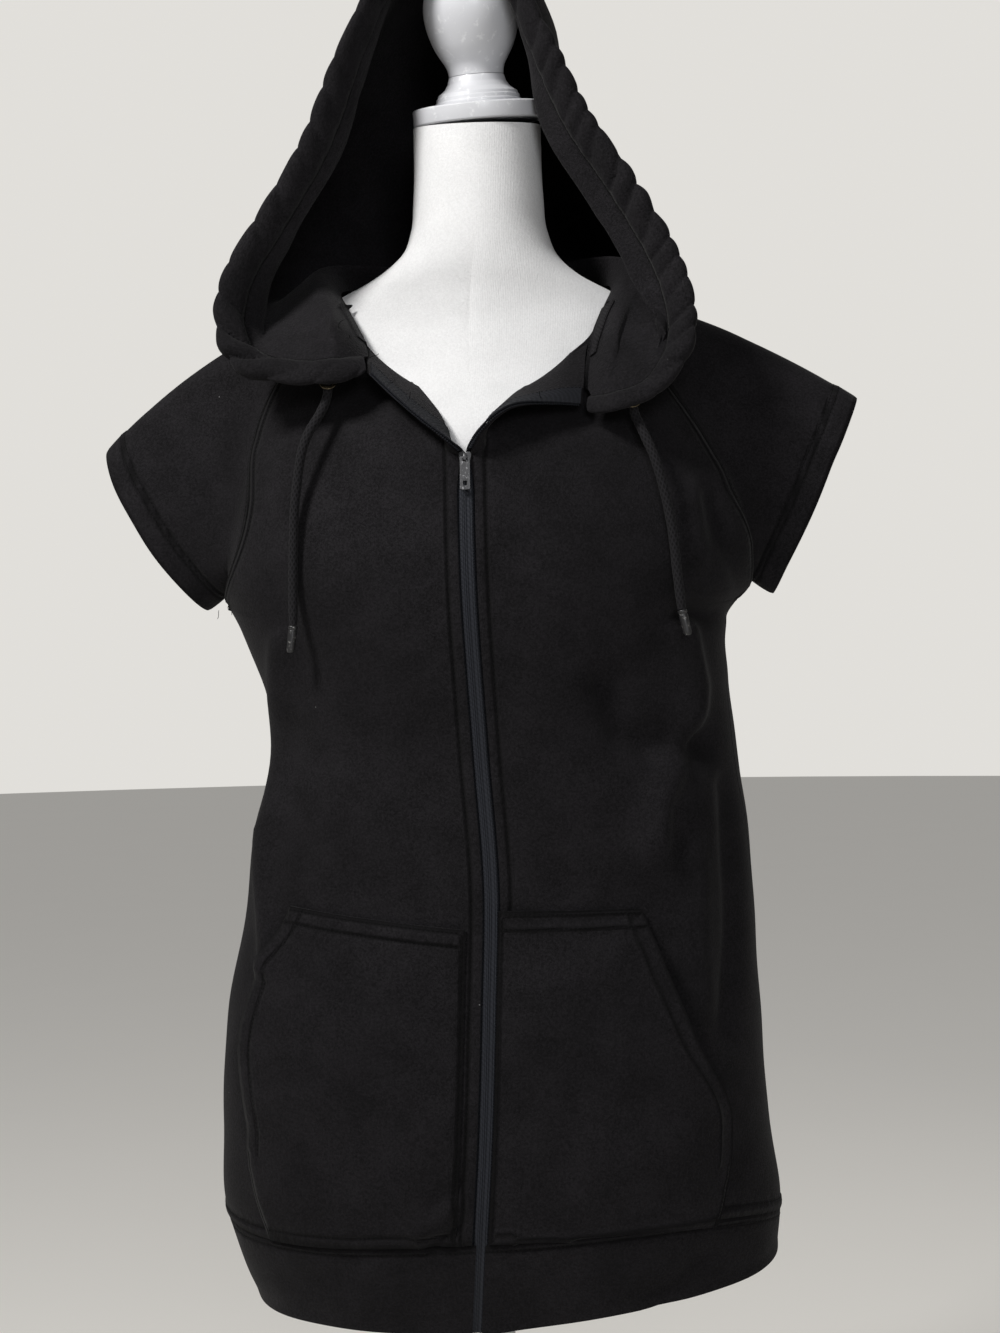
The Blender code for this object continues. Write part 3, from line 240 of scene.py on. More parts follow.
CORD = {
    -1: table("at x y z", (0, -105, -107, 211), (0.4, -105, -97, 203), (0.8, -107.5, -98.5, 193),
              (1.2, -112, -103.5, 182), (1.7, -119.5, -109, 168), (3, -128.5, -109.5, 127),
              (4.4, -131.5, -109, 81), (5.9, -132.4, -109, 32)),
    1: table("at x y z", (0, 111, -108, 195), (0.4, 111, -98, 187), (0.8, 114.5, -98, 177),
             (1.2, 118.5, -103, 167), (1.7, 126, -108, 149), (2.8, 137, -108.5, 105), (4, 142, -108, 60),
             (4.7, 144.4, -108, 38)),
}
AGLET = {-1: (-2.4, 0, -19.6), 1: (4.2, 0, -18.4)}    # from the cord's end to the tip's end
# Turned profiles, radius by height above the neck's top.
CAP = table("z r", (0.3, 49.6), (1.2, 51), (11.8, 51), (12.8, 50), (13, 33), (13.8, 33.4), (16.4, 33.2),
            (17, 32.2), (19.6, 32), (20.2, 31), (22.4, 30.6), (23.2, 29.2), (26, 25.4), (30, 22.6),
            (35, 21.2))
FINIAL = table("z r", (35.3, 21), (38, 21.2), (43, 22.6), (48, 25.6), (55, 29.6), (64, 33.2), (73, 35.6),
               (83, 36.6), (93, 35.4), (102, 31.8), (110, 25.6), (115.5, 17.8), (118.6, 9))
NECK_TILT = math.radians(12)     # the neck's top and its cap lean forward


def section(turn, wide, front, back, round_front, round_back):
    """x and y on an oval section: turn is 0 at the front, 90 on the right."""
    s, c = np.sin(np.radians(turn)), np.cos(np.radians(turn))
    power = np.where(c > 0, round_front, round_back)
    k = (np.abs(s) ** power + np.abs(c) ** power) ** (-1 / power)
    return wide * s * k, -np.where(c > 0, front, back) * c * k


def body(turn, level):
    """A point on the inside face of the garment's body."""
    turn, level = np.broadcast_arrays(np.asarray(turn, float), np.asarray(level, float))
    row = {name: along(BODY, "level", name, level) for name in BODY if name != "level"}
    s, c = np.sin(np.radians(turn)), np.cos(np.radians(turn))
    wide = np.where(s < 0, row["left"], row["right"])
    x, y = section(turn, wide, row["front"], row["back"], row["round_front"], row["round_back"])
    return np.stack([x, y, row["z"] + row["tilt"] * c + row["lift"] * s * s], -1)


def locate(x, z, back=False):
    """The turn and level of the body's point that stands at x and z in the front or back view."""
    x, z = np.broadcast_arrays(np.asarray(x, float), np.asarray(z, float))
    low, high = np.full(x.shape, -480.0), np.full(x.shape, 262.0)
    for _ in range(26):
        level = (low + high) / 2
        a, b = np.full(x.shape, -90.0), np.full(x.shape, 90.0)
        for _ in range(22):
            turn = (a + b) / 2
            under = body(180 - turn if back else turn, level)[..., 0] < x
            a, b = np.where(under, turn, a), np.where(under, b, turn)
        under = body(180 - turn if back else turn, level)[..., 2] < z
        low, high = np.where(under, level, low), np.where(under, high, level)
    return (180 - turn if back else turn), level


def coons(bottom, top, inner, outer, across, up):
    """Fills a four-sided patch from its edges, each an array of (turn, level)."""
    v, u = up[:, None, None], across[None, :, None]
    corners = (bottom[0] * (1 - u) * (1 - v) + bottom[-1] * u * (1 - v) + top[0] * (1 - u) * v
               + top[-1] * u * v)
    return (bottom[None] * (1 - v) + top[None] * v + inner[:, None] * (1 - u) + outer[:, None] * u - corners)


def hermite(a, ta, b, tb, t):
    return (a * (1 + 2 * t) * (1 - t) ** 2 + ta * t * (1 - t) ** 2 + b * t * t * (3 - 2 * t)
            - tb * t * t * (1 - t))


def run_of(line):
    """How far along a line each of its places is."""
    return np.concatenate([[0], np.cumsum(np.linalg.norm(np.diff(line, axis=0), axis=-1))])


def unit(v):
    return v / np.maximum(np.linalg.norm(v, axis=-1, keepdims=True), 1e-9)


def normals(grid, closed=False):
    """Outward normals of a grid: seen from outside, its rows go up and its columns to the right."""
    if closed:
        across = np.roll(grid, -1, 1) - np.roll(grid, 1, 1)
    else:
        across = np.gradient(grid, axis=1)
    up = np.gradient(grid, axis=0)
    return unit(np.cross(across, up))


# ---------------------------------------------------------------- panels
BAND_ROWS, LOW_ROWS, HIGH_ROWS = 20, 80, 56
MAIN, SLEEVE_TOP, BACK_HALF = 60, 22, 44
FACING_COLUMNS = (0.0, 1.5, 3.5, 5.6, TOPSTITCH - 1.2, TOPSTITCH, TOPSTITCH + 1.2, TAPE_REACH)
NECK_END = len(FACING_COLUMNS) + 3     # the facing column where the hood's seam starts


def spread(count, close=0.1):
    """Steps from 0 to 1 that lie closer together at both ends."""
    t = np.linspace(0, 1, count)
    return t - close * np.sin(2 * np.pi * t)


V = np.concatenate([spread(LOW_ROWS + 1, 0.095), 1 + spread(HIGH_ROWS + 1, 0.06)[1:]])
UP = np.interp(V, np.concatenate([np.linspace(0, 1, 10), np.linspace(1, 2, 11)[1:]]), np.linspace(0, 1, 20))


def zip_x(z):
    return along(ZIP, "z", "x", z)


def front_main(side):
    """The front between its fold and its side seam and raglan, as (turn, level)."""
    low = V <= CLOSED_V
    x = np.where(low, zip_x(along(ZIP_V, "v", "z", V)) + side * (ZIP_HALF + FACING),
                 along(FOLD[side], "v", "x", V))
    z = np.where(low, along(ZIP_V, "v", "z", V), along(FOLD[side], "v", "z", V))
    inner = np.stack(locate(x, z), -1)
    seam = along(SIDE_SEAM, "v", "left" if side < 0 else "right", np.minimum(V, 1))
    rag = np.stack(locate(along(RAGLAN_FRONT[side], "v", "x", V), along(RAGLAN_FRONT[side], "v", "z", V)), -1)
    foot = along(BAND_SEAM, "turn", "z", seam[0] % 360)
    level = foot + (rag[LOW_ROWS, 1] - foot) * V
    outer = np.where((V < 1)[:, None], np.stack([seam, level], -1), rag)
    outer[LOW_ROWS] = rag[LOW_ROWS]
    across = spread(MAIN + 1)
    turn = inner[0, 0] + (outer[0, 0] - inner[0, 0]) * across
    bottom = np.stack([turn, along(BAND_SEAM, "turn", "z", turn % 360)], -1)
    inner[0] = bottom[0]
    outer[0] = bottom[-1]
    top = inner[-1] + (outer[-1] - inner[-1]) * across[:, None]
    return coons(bottom, top, inner, outer, across, UP)


def fitted(grid, rim, reach):
    """The grid with its top row moved onto the neckline, and the rows under it less and less."""
    fade = np.clip((V - (2 - reach)) / reach, 0, 1)[:, None, None]
    return grid + (rim - grid[-1])[None] * fade * fade * (3 - 2 * fade)


def front_grid(side):
    """The whole front, columns from the free edge to the side."""
    patch = front_main(side)
    main = fitted(body(patch[..., 0], patch[..., 1]), point_along(NECK[side], "at", spread(MAIN + 1)), 0.5)
    fold = main[:, 0]
    inward = unit(main[:, 0] - main[:, 1])
    low = (V <= CLOSED_V)[:, None]
    z = along(ZIP_V, "v", "z", V)
    edge = np.where(low, body(*locate(zip_x(z) + side * ZIP_HALF, z)), point_along(FREE[side], "v", V))
    width = np.linalg.norm(edge - fold, axis=-1)
    grid = []
    for i, v in enumerate(V):
        rise = np.clip((v - CLOSED_V) / 0.2, 0, 1)
        leave = inward[i] * (width[i] * (1 - rise) + 34 * rise)
        arrive = (edge[i] - fold[i]) * (1 + 0.15 * rise)
        middle = (TAPE_REACH + width[i]) / 2 if width[i] < 38 else 25.3
        close = [TAPE_REACH + (middle - TAPE_REACH) * k / 4 for k in (1, 2, 3, 4)]
        more = close + [middle + (width[i] - middle) * k / 3 for k in (1, 2)]
        distance = np.array(FACING_COLUMNS + tuple(more))
        t = 1 - distance / width[i]
        strip = hermite(fold[i], leave, edge[i], arrive, t[:, None])
        grid.append(np.concatenate([strip, main[i]]))
    return np.array(grid)


def back_grid():
    """The back, columns from the viewer's right round to the left."""
    sides = []
    for side, name in ((1, "right"), (-1, "left")):
        rag = np.stack(locate(along(RAGLAN_BACK[side], "v", "x", V), along(RAGLAN_BACK[side], "v", "z", V),
                              back=True), -1)
        seam = along(SIDE_SEAM, "v", name, np.minimum(V, 1)) % 360
        front = np.array(locate(RAGLAN_FRONT[side]["x"][0], RAGLAN_FRONT[side]["z"][0]))
        foot = along(BAND_SEAM, "turn", "z", seam[0])
        level = foot + (front[1] - foot) * V
        edge = np.where((V < 1)[:, None], np.stack([seam, level], -1), rag)
        edge[LOW_ROWS] = (front[0] % 360, front[1])
        sides.append(edge)
    right, left = sides
    across = spread(2 * BACK_HALF + 1)
    turn = right[0, 0] + (left[0, 0] - right[0, 0]) * across
    bottom = np.stack([turn, along(BAND_SEAM, "turn", "z", turn)], -1)
    top = right[-1] + (left[-1] - right[-1]) * across[:, None]
    patch = coons(bottom, top, right, left, across, UP)
    half = 3 + 2 * across[:BACK_HALF + 1]
    rim = np.concatenate([point_along(NECK[1], "at", half), point_along(NECK[-1], "at", half[::-1])[1:]])
    return fitted(body(patch[..., 0], patch[..., 1]), rim, 0.6)


def armhole(side, front, back):
    """The closed loop of the armhole: up the front raglan, over the shoulder, down the back."""
    up = front[LOW_ROWS:, -1]
    over = point_along(NECK[side], "at", np.linspace(1, 3, SLEEVE_TOP + 1))[1:-1]
    down = back[LOW_ROWS:, 0 if side > 0 else -1][::-1]
    return np.concatenate([up, over, down[:-1]])


def sleeve_grid(side, loop, loop_normals, rows=44):
    """Rows from the armhole to the cuff, columns round the loop."""
    cuff = CUFF[side]
    top, bottom = np.array(cuff["top"], float), np.array(cuff["bottom"], float)
    major, middle = (top - bottom) / 2, (top + bottom) / 2
    out = unit(np.cross(np.array([0.0, side, 0.0]), major))
    climb = 150 * (V[LOW_ROWS:] - 1)
    around = np.concatenate([climb[:-1], np.linspace(150, 210, SLEEVE_TOP + 1), 360 - climb[::-1][1:-1]])
    a = np.radians(around)[:, None]
    front_share = np.clip(np.sin(a), 0, 1)
    minor = np.array([0.0, cuff["half"], 0.0])
    ring = middle - np.cos(a) * major - np.sin(a) * minor + out * cuff["bow"] * front_share
    reach = np.linalg.norm(ring - loop, axis=-1, keepdims=True)
    way = ring - loop
    lying = np.clip((1 - np.cos(a)) * 1.6, 0, 1)      # at the underarm the sleeve leaves the body straight
    way = unit(way - lying * (way * loop_normals).sum(-1, keepdims=True) * loop_normals)
    high = np.clip(-np.cos(a), 0, 1) ** 2
    land = unit(out + high * cuff["droop"] * np.array([0.0, 0.0, -1.0]))
    s = spread(rows + 1, 0.08)[:, None, None]
    return hermite(loop[None], (way * reach * 0.85)[None], ring[None], (land * reach * 1.1)[None], s)


HOOD_LEVELS = [0, 0.4, 0.8, 1.2, 1.7, 2.3, 3, 3.7, 4.5, 5.4, 6.4, 7.4, 8.3, 9, 9.4, 9.65, 9.82]
HOOD_V = np.interp(np.linspace(0, 16, 97), np.arange(17), HOOD_LEVELS)


def casing_frame(side, v):
    """The casing at v: its centre, the path's way, the way in (d) and out of the cloth (n)."""
    v = np.atleast_1d(np.asarray(v, float))
    centre = point_along(EDGE[side], "v", v)
    ahead = unit(point_along(EDGE[side], "v", v + 0.05) - point_along(EDGE[side], "v", v - 0.05))
    d = np.stack([-side * along(HOOD, "v", "dx", v), along(HOOD, "v", "dy", v), along(HOOD, "v", "dz", v)],
                 -1)
    d = unit(d)
    d = unit(d - (d * ahead).sum(-1, keepdims=True) * ahead)
    n = unit(np.cross(ahead, d)) * -side
    start = unit(point_along(NECK[side], "at", np.array([0.0]))
                 - point_along(FREE[side], "v", np.array([2.0])))
    low = np.clip(1 - v, 0, 1)[:, None]
    return centre, ahead, unit(d * (1 - low) + start * low), n


def hood_ring(side, v, t):
    """Points on the hood's ring v, from the casing (t 0) to the centre seam (t 1)."""
    row = {name: float(along(HOOD, "v", name, v)) for name in HOOD}
    centre, _, d, _ = casing_frame(side, v)
    edge = centre[0] + d[0] * (CASING_HALF + 1.5 + 2 * np.clip(v - 9, 0, 1))
    leave = np.array([-side * row["dx"], row["dy"], row["dz"]])
    middle = np.array([side * row["right" if side > 0 else "left"], row["side_y"], row["side_z"]])
    rear = np.array([float(along(CENTRE, "v", "x", v)), row["back_y"], row["back_z"]])
    turn = (rear - edge) * 0.42
    t = np.asarray(t, float)[:, None]
    first = hermite(edge, leave, middle, turn, np.clip(2 * t, 0, 1))
    second = hermite(middle, turn, rear, np.array([-side * row["sweep"], 0, 0]), np.clip(2 * t - 1, 0, 1))
    return np.where(t < 0.5, first, second)


def hood_grid(side, rim, place):
    """The hood's half: its first row is the neckline's own points from the casing back."""
    share = run_of(rim)
    fine = np.linspace(0, 1, 101)
    rows = []
    for v in HOOD_V:
        at = max(v, 1)
        ring = hood_ring(side, at, fine)
        run = run_of(ring)
        even = place / place[-1]
        mix = np.clip((v - 0.5) / 2.5, 0, 1)
        t = np.interp(run[-1] * (share / share[-1] * (1 - mix) + even * mix), run, fine)
        row = hood_ring(side, at, t)
        if v < 1:
            slope = (hood_ring(side, 1.05, t) - row) / 0.05
            w = v - 1
            row = row + slope * w + (rim - row + slope) * w * w
            centre, _, d, _ = casing_frame(side, v)
            if v > 0:
                lap = np.interp(place, np.arange(9), [0, *np.sin(np.linspace(1.2, 2.9, 7)), 0])[:, None]
                row = row + lap * 27 * v * (1 - v) * np.array([side * 0.45, -0.6, 0.5])
                drawn = np.interp(place, np.arange(5), [1, 0.7, 0.3, 0.1, 0])[:, None]
                row = row + (centre[0] + d[0] * (CASING_HALF + 1.5) - row[0]) * drawn
        rows.append(row)
    return np.array(rows)


# ---------------------------------------------------------------- folds and seams
# Soft ridges and troughs of the worn cloth: -1 front or 1 back, the line's places as
# x and z, then its width and height.
FOLDS = (
    (-1, ((91, -15), (104, -50), (128, -62), (154, -58)), 13, -7.5),
    (-1, ((144, 24), (151, -17), (149, -43), (138, -71), (122, -101), (120, -130)), 9, 7.0),
    (-1, ((116, -140), (130, -147)), 8, 2.2),
    (-1, ((150, -140), (150, -190), (152, -242)), 9, 3.6),
    (-1, ((176, -90), (178, -200), (172, -262)), 8, -4.0),
    (-1, ((150, 122), (153, 100), (155, 76)), 9, 3.4),
    (-1, ((170, 120), (176, 92), (192, 60)), 10, -4.0),
    (-1, ((146, 36), (170, 38), (196, 46)), 8, -4.5),
    (-1, ((-144, 20), (-149, -20), (-153, -75), (-158, -112)), 9, 4.6),
    (-1, ((-163, -124), (-164, -151), (-159, -183), (-158, -214)), 8, 4.8),
    (-1, ((-150, -125), (-128, -131)), 9, -2.0),
    (-1, ((-148, 60), (-138, 30), (-128, 4)), 12, -2.6),
    (-1, ((-49, -397), (-19, -374)), 6, 2.4),
    (-1, ((-40, -404), (-14, -388)), 5, -2.0),
    (-1, ((-36, -378), (-12, -360)), 6, -1.4),
    (-1, ((-88, 226), (-60, 196), (-44, 172)), 9, -1.6),
    (-1, ((60, -150), (104, -166), (120, -180)), 14, -1.6),
    (-1, ((-120, -60), (-60, -80), (-28, -76)), 20, -1.4),
    (-1, ((40, -330), (90, -352), (132, -340)), 18, 1.5),
    (-1, ((-142, -446), (-110, -432), (-96, -420)), 10, -1.8),
    (-1, ((120, -446), (150, -426)), 10, -2.0),
    (-1, ((-230, 150), (-205, 110), (-206, 84)), 13, 2.4),
    (-1, ((236, 150), (224, 110), (214, 80)), 13, -2.6),
    (-1, ((196, 190), (214, 150), (216, 120)), 13, -2.0),
    (-1, ((-146, 257), (-122, 277), (-100, 281)), 14, -4.0),
    (-1, ((-98, 272), (-99, 246)), 5, 3.0),
    (-1, ((92, 277), (106, 292), (122, 302)), 15, -4.2),
    (-1, ((121, 290), (130, 262), (132, 233)), 9, 6.5),
    (-1, ((-128, 330), (-112, 372), (-92, 428)), 12, 2.0),
    (-1, ((-104, 318), (-90, 366), (-76, 412)), 10, -2.2),
    (-1, ((84, 330), (66, 388), (46, 440)), 11, -1.8),
    (1, ((-120, 20), (-60, -10), (10, -16), (70, -4), (130, 26)), 16, -4.0),
    (1, ((-140, -40), (-80, -70), (-10, -78), (60, -66), (140, -34)), 15, 3.2),
    (1, ((-130, -110), (-60, -128), (40, -126), (128, -100)), 15, -3.0),
    (1, ((-60, 180), (-70, 120), (-92, 70)), 15, -2.6),
    (1, ((66, 182), (76, 124), (98, 74)), 15, -2.8),
    (1, ((-150, 90), (-168, 66)), 11, -3.4),
    (1, ((156, 92), (178, 66)), 11, -3.4),
    (1, ((-84, -200), (-92, -300), (-86, -400)), 20, 2.6),
    (1, ((70, -210), (82, -310), (74, -410)), 20, 2.4),
    (1, ((-110, 318), (-60, 304), (0, 300), (60, 304), (108, 318)), 12, -4.5),
    (1, ((-90, 350), (-40, 338), (30, 336), (84, 350)), 13, 3.6),
    (1, ((-60, 420), (-50, 380), (-30, 350)), 14, -3.0),
    (1, ((48, 430), (44, 384), (26, 350)), 14, -2.6),
)


def smooth(low, high, at):
    t = np.clip((at - low) / (high - low), 0, 1)
    return t * t * (3 - 2 * t)


def relief(points, hold=1.0):
    """The points moved out or in by the folds and the cloth's small unevenness."""
    x, y, z = np.moveaxis(points, -1, 0)
    rise = np.zeros_like(x)
    for face, line, width, height in FOLDS:
        near = np.full_like(x, 1e9)
        for (x1, z1), (x2, z2) in zip(line, line[1:]):
            dx, dz = x2 - x1, z2 - z1
            t = np.clip(((x - x1) * dx + (z - z1) * dz) / (dx * dx + dz * dz), 0, 1)
            near = np.minimum(near, (x - x1 - dx * t) ** 2 + (z - z1 - dz * t) ** 2)
        other_face = 1 + np.exp(-np.clip((y * face + 8) / 7, -30, 30))
        rise += RELIEF * height * np.exp(-near / width ** 2) / other_face
    broad = 1.1 * np.sin(x / 26 + z / 71 + 1) * np.sin(z / 43 - y / 37)
    rise += broad + 0.55 * np.sin(x / 13 - z / 21) * np.sin(y / 16 + z / 29)
    near_zip = smooth(3, 30, np.abs(x - zip_x(z)))
    rise = np.where(y < 0, rise * np.where(z < 175, near_zip, smooth(-3, 12, np.abs(x) - 10)), rise)
    resting = smooth(140, 165, z) * (1 - smooth(300, 330, z)) * smooth(-95, -70, y)
    rise = np.where(rise < 0, rise * (1 - resting), rise)
    drop = 90 * np.exp(-((z - 225) / 60) ** 2)
    away = unit(points - np.stack([0 * x, 0 * y + 15, z - drop], -1))
    return points + away * (rise * hold)[..., None]


def nearest(points, line):
    """How far each point is from a line of places."""
    flat = points.reshape(-1, 3)
    line = line[::max(1, len(line) // 400)]
    far = np.empty(len(flat))
    for start in range(0, len(flat), 3000):
        part = flat[start:start + 3000]
        far[start:start + 3000] = np.sqrt(((part[:, None] - line[None]) ** 2).sum(-1).min(1))
    return far.reshape(points.shape[:-1])


def evenly(line, ways, pitch, start=0.0):
    """A line's places a pitch apart, with the way out of the cloth and the way along."""
    run = run_of(line)
    at = np.arange(start, run[-1], pitch)
    place = np.stack([np.interp(at, run, line[:, k]) for k in range(3)], -1)
    out = unit(np.stack([np.interp(at, run, ways[:, k]) for k in range(3)], -1))
    ahead = np.stack([np.interp(at + 0.6, run, line[:, k]) - np.interp(at - 0.6, run, line[:, k])
                      for k in range(3)], -1)
    return place, out, unit(ahead)


def inset(grid, edge, distance):
    """The line on a grid that runs at a distance from one of its edges."""
    rows = {"bottom": grid, "top": grid[::-1], "first": grid.swapaxes(0, 1),
            "last": grid.swapaxes(0, 1)[::-1]}[edge]
    steps = np.linalg.norm(np.diff(rows[..., :3], axis=0), axis=-1)
    run = np.concatenate([np.zeros((1, rows.shape[1])), np.cumsum(steps, 0)])
    return np.array([[np.interp(distance, run[:, j], rows[:, j, k]) for k in range(rows.shape[2])]
                     for j in range(rows.shape[1])])


def eased(grid, rounds=90):
    """A sleeve's surface with the corner of its seam smoothed out of it, less near the seam."""
    grid = grid.copy()
    share = 0.5 * smooth(0, 0.35, np.linspace(0, 1, len(grid)))[:, None, None]
    for _ in range(rounds):
        grid += (np.roll(grid, 1, 1) + np.roll(grid, -1, 1) - 2 * grid) * share
    return grid


def slim(side, v):
    """How wide the casing is at v, against its usual width: its lower end is slim."""
    least = 0.64 if side > 0 else 0.86
    return least + (1 - least) * smooth(1.6, 3.4, v)


class Seams:
    """Gives the points that panels share one mitre, so that their end faces stay parallel."""

    def __init__(self):
        self.sums, self.counts = {}, {}

    def rims(self, grid, closed):
        rows, columns = grid.shape[:2]
        places = [(i, j) for i in (0, rows - 1) for j in range(columns)]
        if not closed:
            places += [(i, j) for i in range(1, rows - 1) for j in (0, columns - 1)]
        return places

    def key(self, point):
        return tuple(np.round(point / 0.05).astype(int))

    def add(self, grid, facing, closed=False):
        seen = set()
        for i, j in self.rims(grid, closed):
            key = self.key(grid[i, j])
            if key not in seen:
                seen.add(key)
                self.sums[key] = self.sums.get(key, 0) + facing[i, j]
                self.counts[key] = self.counts.get(key, 0) + 1

    def share(self, grid, facing, closed=False):
        facing = facing.copy()
        for i, j in self.rims(grid, closed):
            key = self.key(grid[i, j])
            mean = self.sums[key] / self.counts[key]
            facing[i, j] = unit(mean) / max(float(np.linalg.norm(mean)), 0.5)
        return facing


def pulled_in(grid, edges, gap=SEAM / 2):
    """Moves the named edges of a grid in along the surface, square to the seam."""
    moved = grid.copy()
    for edge in edges:
        rim, nxt = {"bottom": (grid[0], grid[1]), "top": (grid[-1], grid[-2]),
                    "first": (grid[:, 0], grid[:, 1]), "last": (grid[:, -1], grid[:, -2])}[edge]
        tangent = unit(np.gradient(rim, axis=0))
        way = nxt - rim
        way = unit(way - (way * tangent).sum(-1, keepdims=True) * tangent) * gap
        target = {"bottom": moved[0], "top": moved[-1], "first": moved[:, 0], "last": moved[:, -1]}[edge]
        target += way
    return moved


class Panel:
    """One cut piece of cloth: its inside face, its outside face and its lines of stitching."""

    def __init__(self, inner, way, thick, closed=False):
        self.inner, self.way, self.closed = inner, way, closed
        self.thick = np.broadcast_to(np.asarray(thick, float), inner.shape[:2]).copy()
        self.lines, self.rims = [], []

    @property
    def outer(self):
        return self.inner + self.way * self.thick[..., None]

    def raised(self, edge, reach, height, rows=slice(None), columns=slice(None)):
        """Thicker along an edge, where the seam's allowances lie under the cloth."""
        grid = self.inner[rows, columns]
        rim = {"bottom": grid[0], "top": grid[-1], "first": grid[:, 0], "last": grid[:, -1]}[edge]
        far = nearest(self.inner, rim)
        if height > 0.6:
            self.rims.append(rim)
        fall = 1 - smooth(reach - 1.2, reach + 1.8, far)
        self.thick += height * fall * (0.55 + 0.45 * smooth(0, 2.5, far))

    def stitched(self, edge, distance, rows=slice(None), columns=slice(None), trim=0):
        """A line of stitches at a distance from an edge."""
        both = np.concatenate([self.outer, self.way], -1)[rows, columns]
        line = inset(both, edge, distance)
        if trim:
            line = line[trim:-trim]
        self.lines.append((line[:, :3], unit(line[:, 3:])))

    def stitched_column(self, column, rows=slice(None)):
        self.lines.append((self.outer[rows, column], unit(self.way[rows, column])))

    def near_stitch(self):
        far = np.full(self.inner.shape[:2], 40.0)
        for line, ways in self.lines:
            far = np.minimum(far, nearest(self.outer, evenly(line, ways, 1.0)[0]))
        for rim in self.rims:
            far = np.minimum(far, 0.7 * nearest(self.inner, evenly(rim, rim, 1.0)[0]))
        return far


def neckline_index():
    """Where the hood's columns lie on the neckline: 1 the casing, 8 and 13 the raglans, 19 the nape."""
    front = 1 + 7 * spread(MAIN + 1)
    shoulder = 8 + 5 * np.linspace(0, 1, SLEEVE_TOP + 1)[1:]
    rear = 13 + 6 * spread(2 * BACK_HALF + 1)[1:BACK_HALF + 1] * 2
    return np.concatenate([[0, 1 / 3, 2 / 3], front, shoulder, rear])


def bulged(hood):
    """The right hood bulges forward beside its casing."""
    away = np.linalg.norm(hood - hood[:, :1], axis=-1)
    tall = smooth(2.2, 3.4, HOOD_V) * (1 - smooth(6.5, 8, HOOD_V))
    bulge = 12 * np.exp(-((away - 22) / 13) ** 2) * tall[:, None]
    return hood + bulge[..., None] * np.array([-0.8, -0.55, 0.1])


def plain_faces(index):
    """The inside faces of the fronts, the back, the sleeves and the hood's halves, before their folds."""
    fronts = {side: front_grid(side) for side in (-1, 1)}
    back = back_grid()
    seams = Seams()
    for side in (-1, 1):
        seams.add(fronts[side], normals(fronts[side]) * side)
    seams.add(back, normals(back))
    sleeves, hoods = {}, {}
    for side in (-1, 1):
        loop = armhole(side, fronts[side], back)
        up = np.array([side * 0.15, 0, 1.0])
        own = []
        for j, point in enumerate(loop):
            key = seams.key(point)
            lean = (j - HIGH_ROWS - SLEEVE_TOP / 2) * 0.1 * 5 / SLEEVE_TOP
            own.append(unit(seams.sums[key]) if key in seams.sums else unit(up + np.array([0, lean, 0])))
        sleeves[side] = eased(sleeve_grid(side, loop, np.array(own)))
        over = loop[HIGH_ROWS:HIGH_ROWS + SLEEVE_TOP + 1]
        rear = back[-1, :BACK_HALF + 1] if side > 0 else back[-1, BACK_HALF:][::-1]
        rim = np.concatenate([fronts[side][-1, NECK_END:], over[1:], rear[1:]])
        hoods[side] = hood_grid(side, rim, index)
    hoods[1] = bulged(hoods[1])
    return fronts, back, sleeves, hoods


def band_face():
    """The bottom band's inside face, from zip edge to zip edge, and its outward normals."""
    low = -430.0      # a level inside the band
    first = float(locate(zip_x(low) + ZIP_HALF, low)[0])
    last = 360 + float(locate(zip_x(low) - ZIP_HALF, low)[0])
    around = first + (last - first) * np.linspace(0, 1, 181)
    share = spread(BAND_ROWS + 1, 0.08)[:, None]
    hem, seam = along(HEM, "turn", "z", around % 360), along(BAND_SEAM, "turn", "z", around % 360)
    level = hem * (1 - share) + seam * share
    band = body(around[None] + 0 * level, level)
    for column, side in ((0, 1), (-1, -1)):
        band[:, column] = body(*locate(zip_x(level[:, column]) + side * ZIP_HALF, level[:, column]))
    band = relief(band)
    return band, normals(band)


HIGH = slice(LOW_ROWS, None)      # the rows above the underarm


def front_panel(front, way):
    inner = pulled_in(pulled_in(front, ("bottom",)), ("top", "last"), 0.5)
    bare = (1 - smooth(1.38, 1.5, V))[:, None]
    for column, give in enumerate((3.1, 2.6, 1.8, 1.0)):
        inner[:, column] += unit(inner[:, column + 1] - inner[:, column]) * give * bare
    made = Panel(inner, way, FLEECE)
    made.raised("last", 5.5, 0.9, rows=HIGH)
    made.raised("bottom", 7.0, 1.2)
    made.raised("first", TOPSTITCH - 0.6, 0.5)
    made.stitched_column(FACING_COLUMNS.index(TOPSTITCH))
    made.stitched("bottom", 8.0, columns=slice(NECK_END, None))
    made.stitched("last", 5.5, rows=HIGH)
    return made


def sleeve_panel(sleeve, way):
    step = np.arange(sleeve.shape[1])
    reach = 3 * len(step) / 24
    under = np.clip(1 - np.minimum(step, len(step) - step) / reach, 0, 1)[:, None]
    inner = sleeve.copy()
    inner[0] += unit(sleeve[1] - sleeve[0]) * (1.0 + 0.8 * under)
    made = Panel(inner, way, FLEECE, closed=True)
    made.raised("bottom", 2.4, 0.7)
    made.raised("top", 19.5, 0.9)
    made.stitched("top", 16.5)
    made.stitched("top", 20.5)
    made.stitched("bottom", 2.6)
    return made


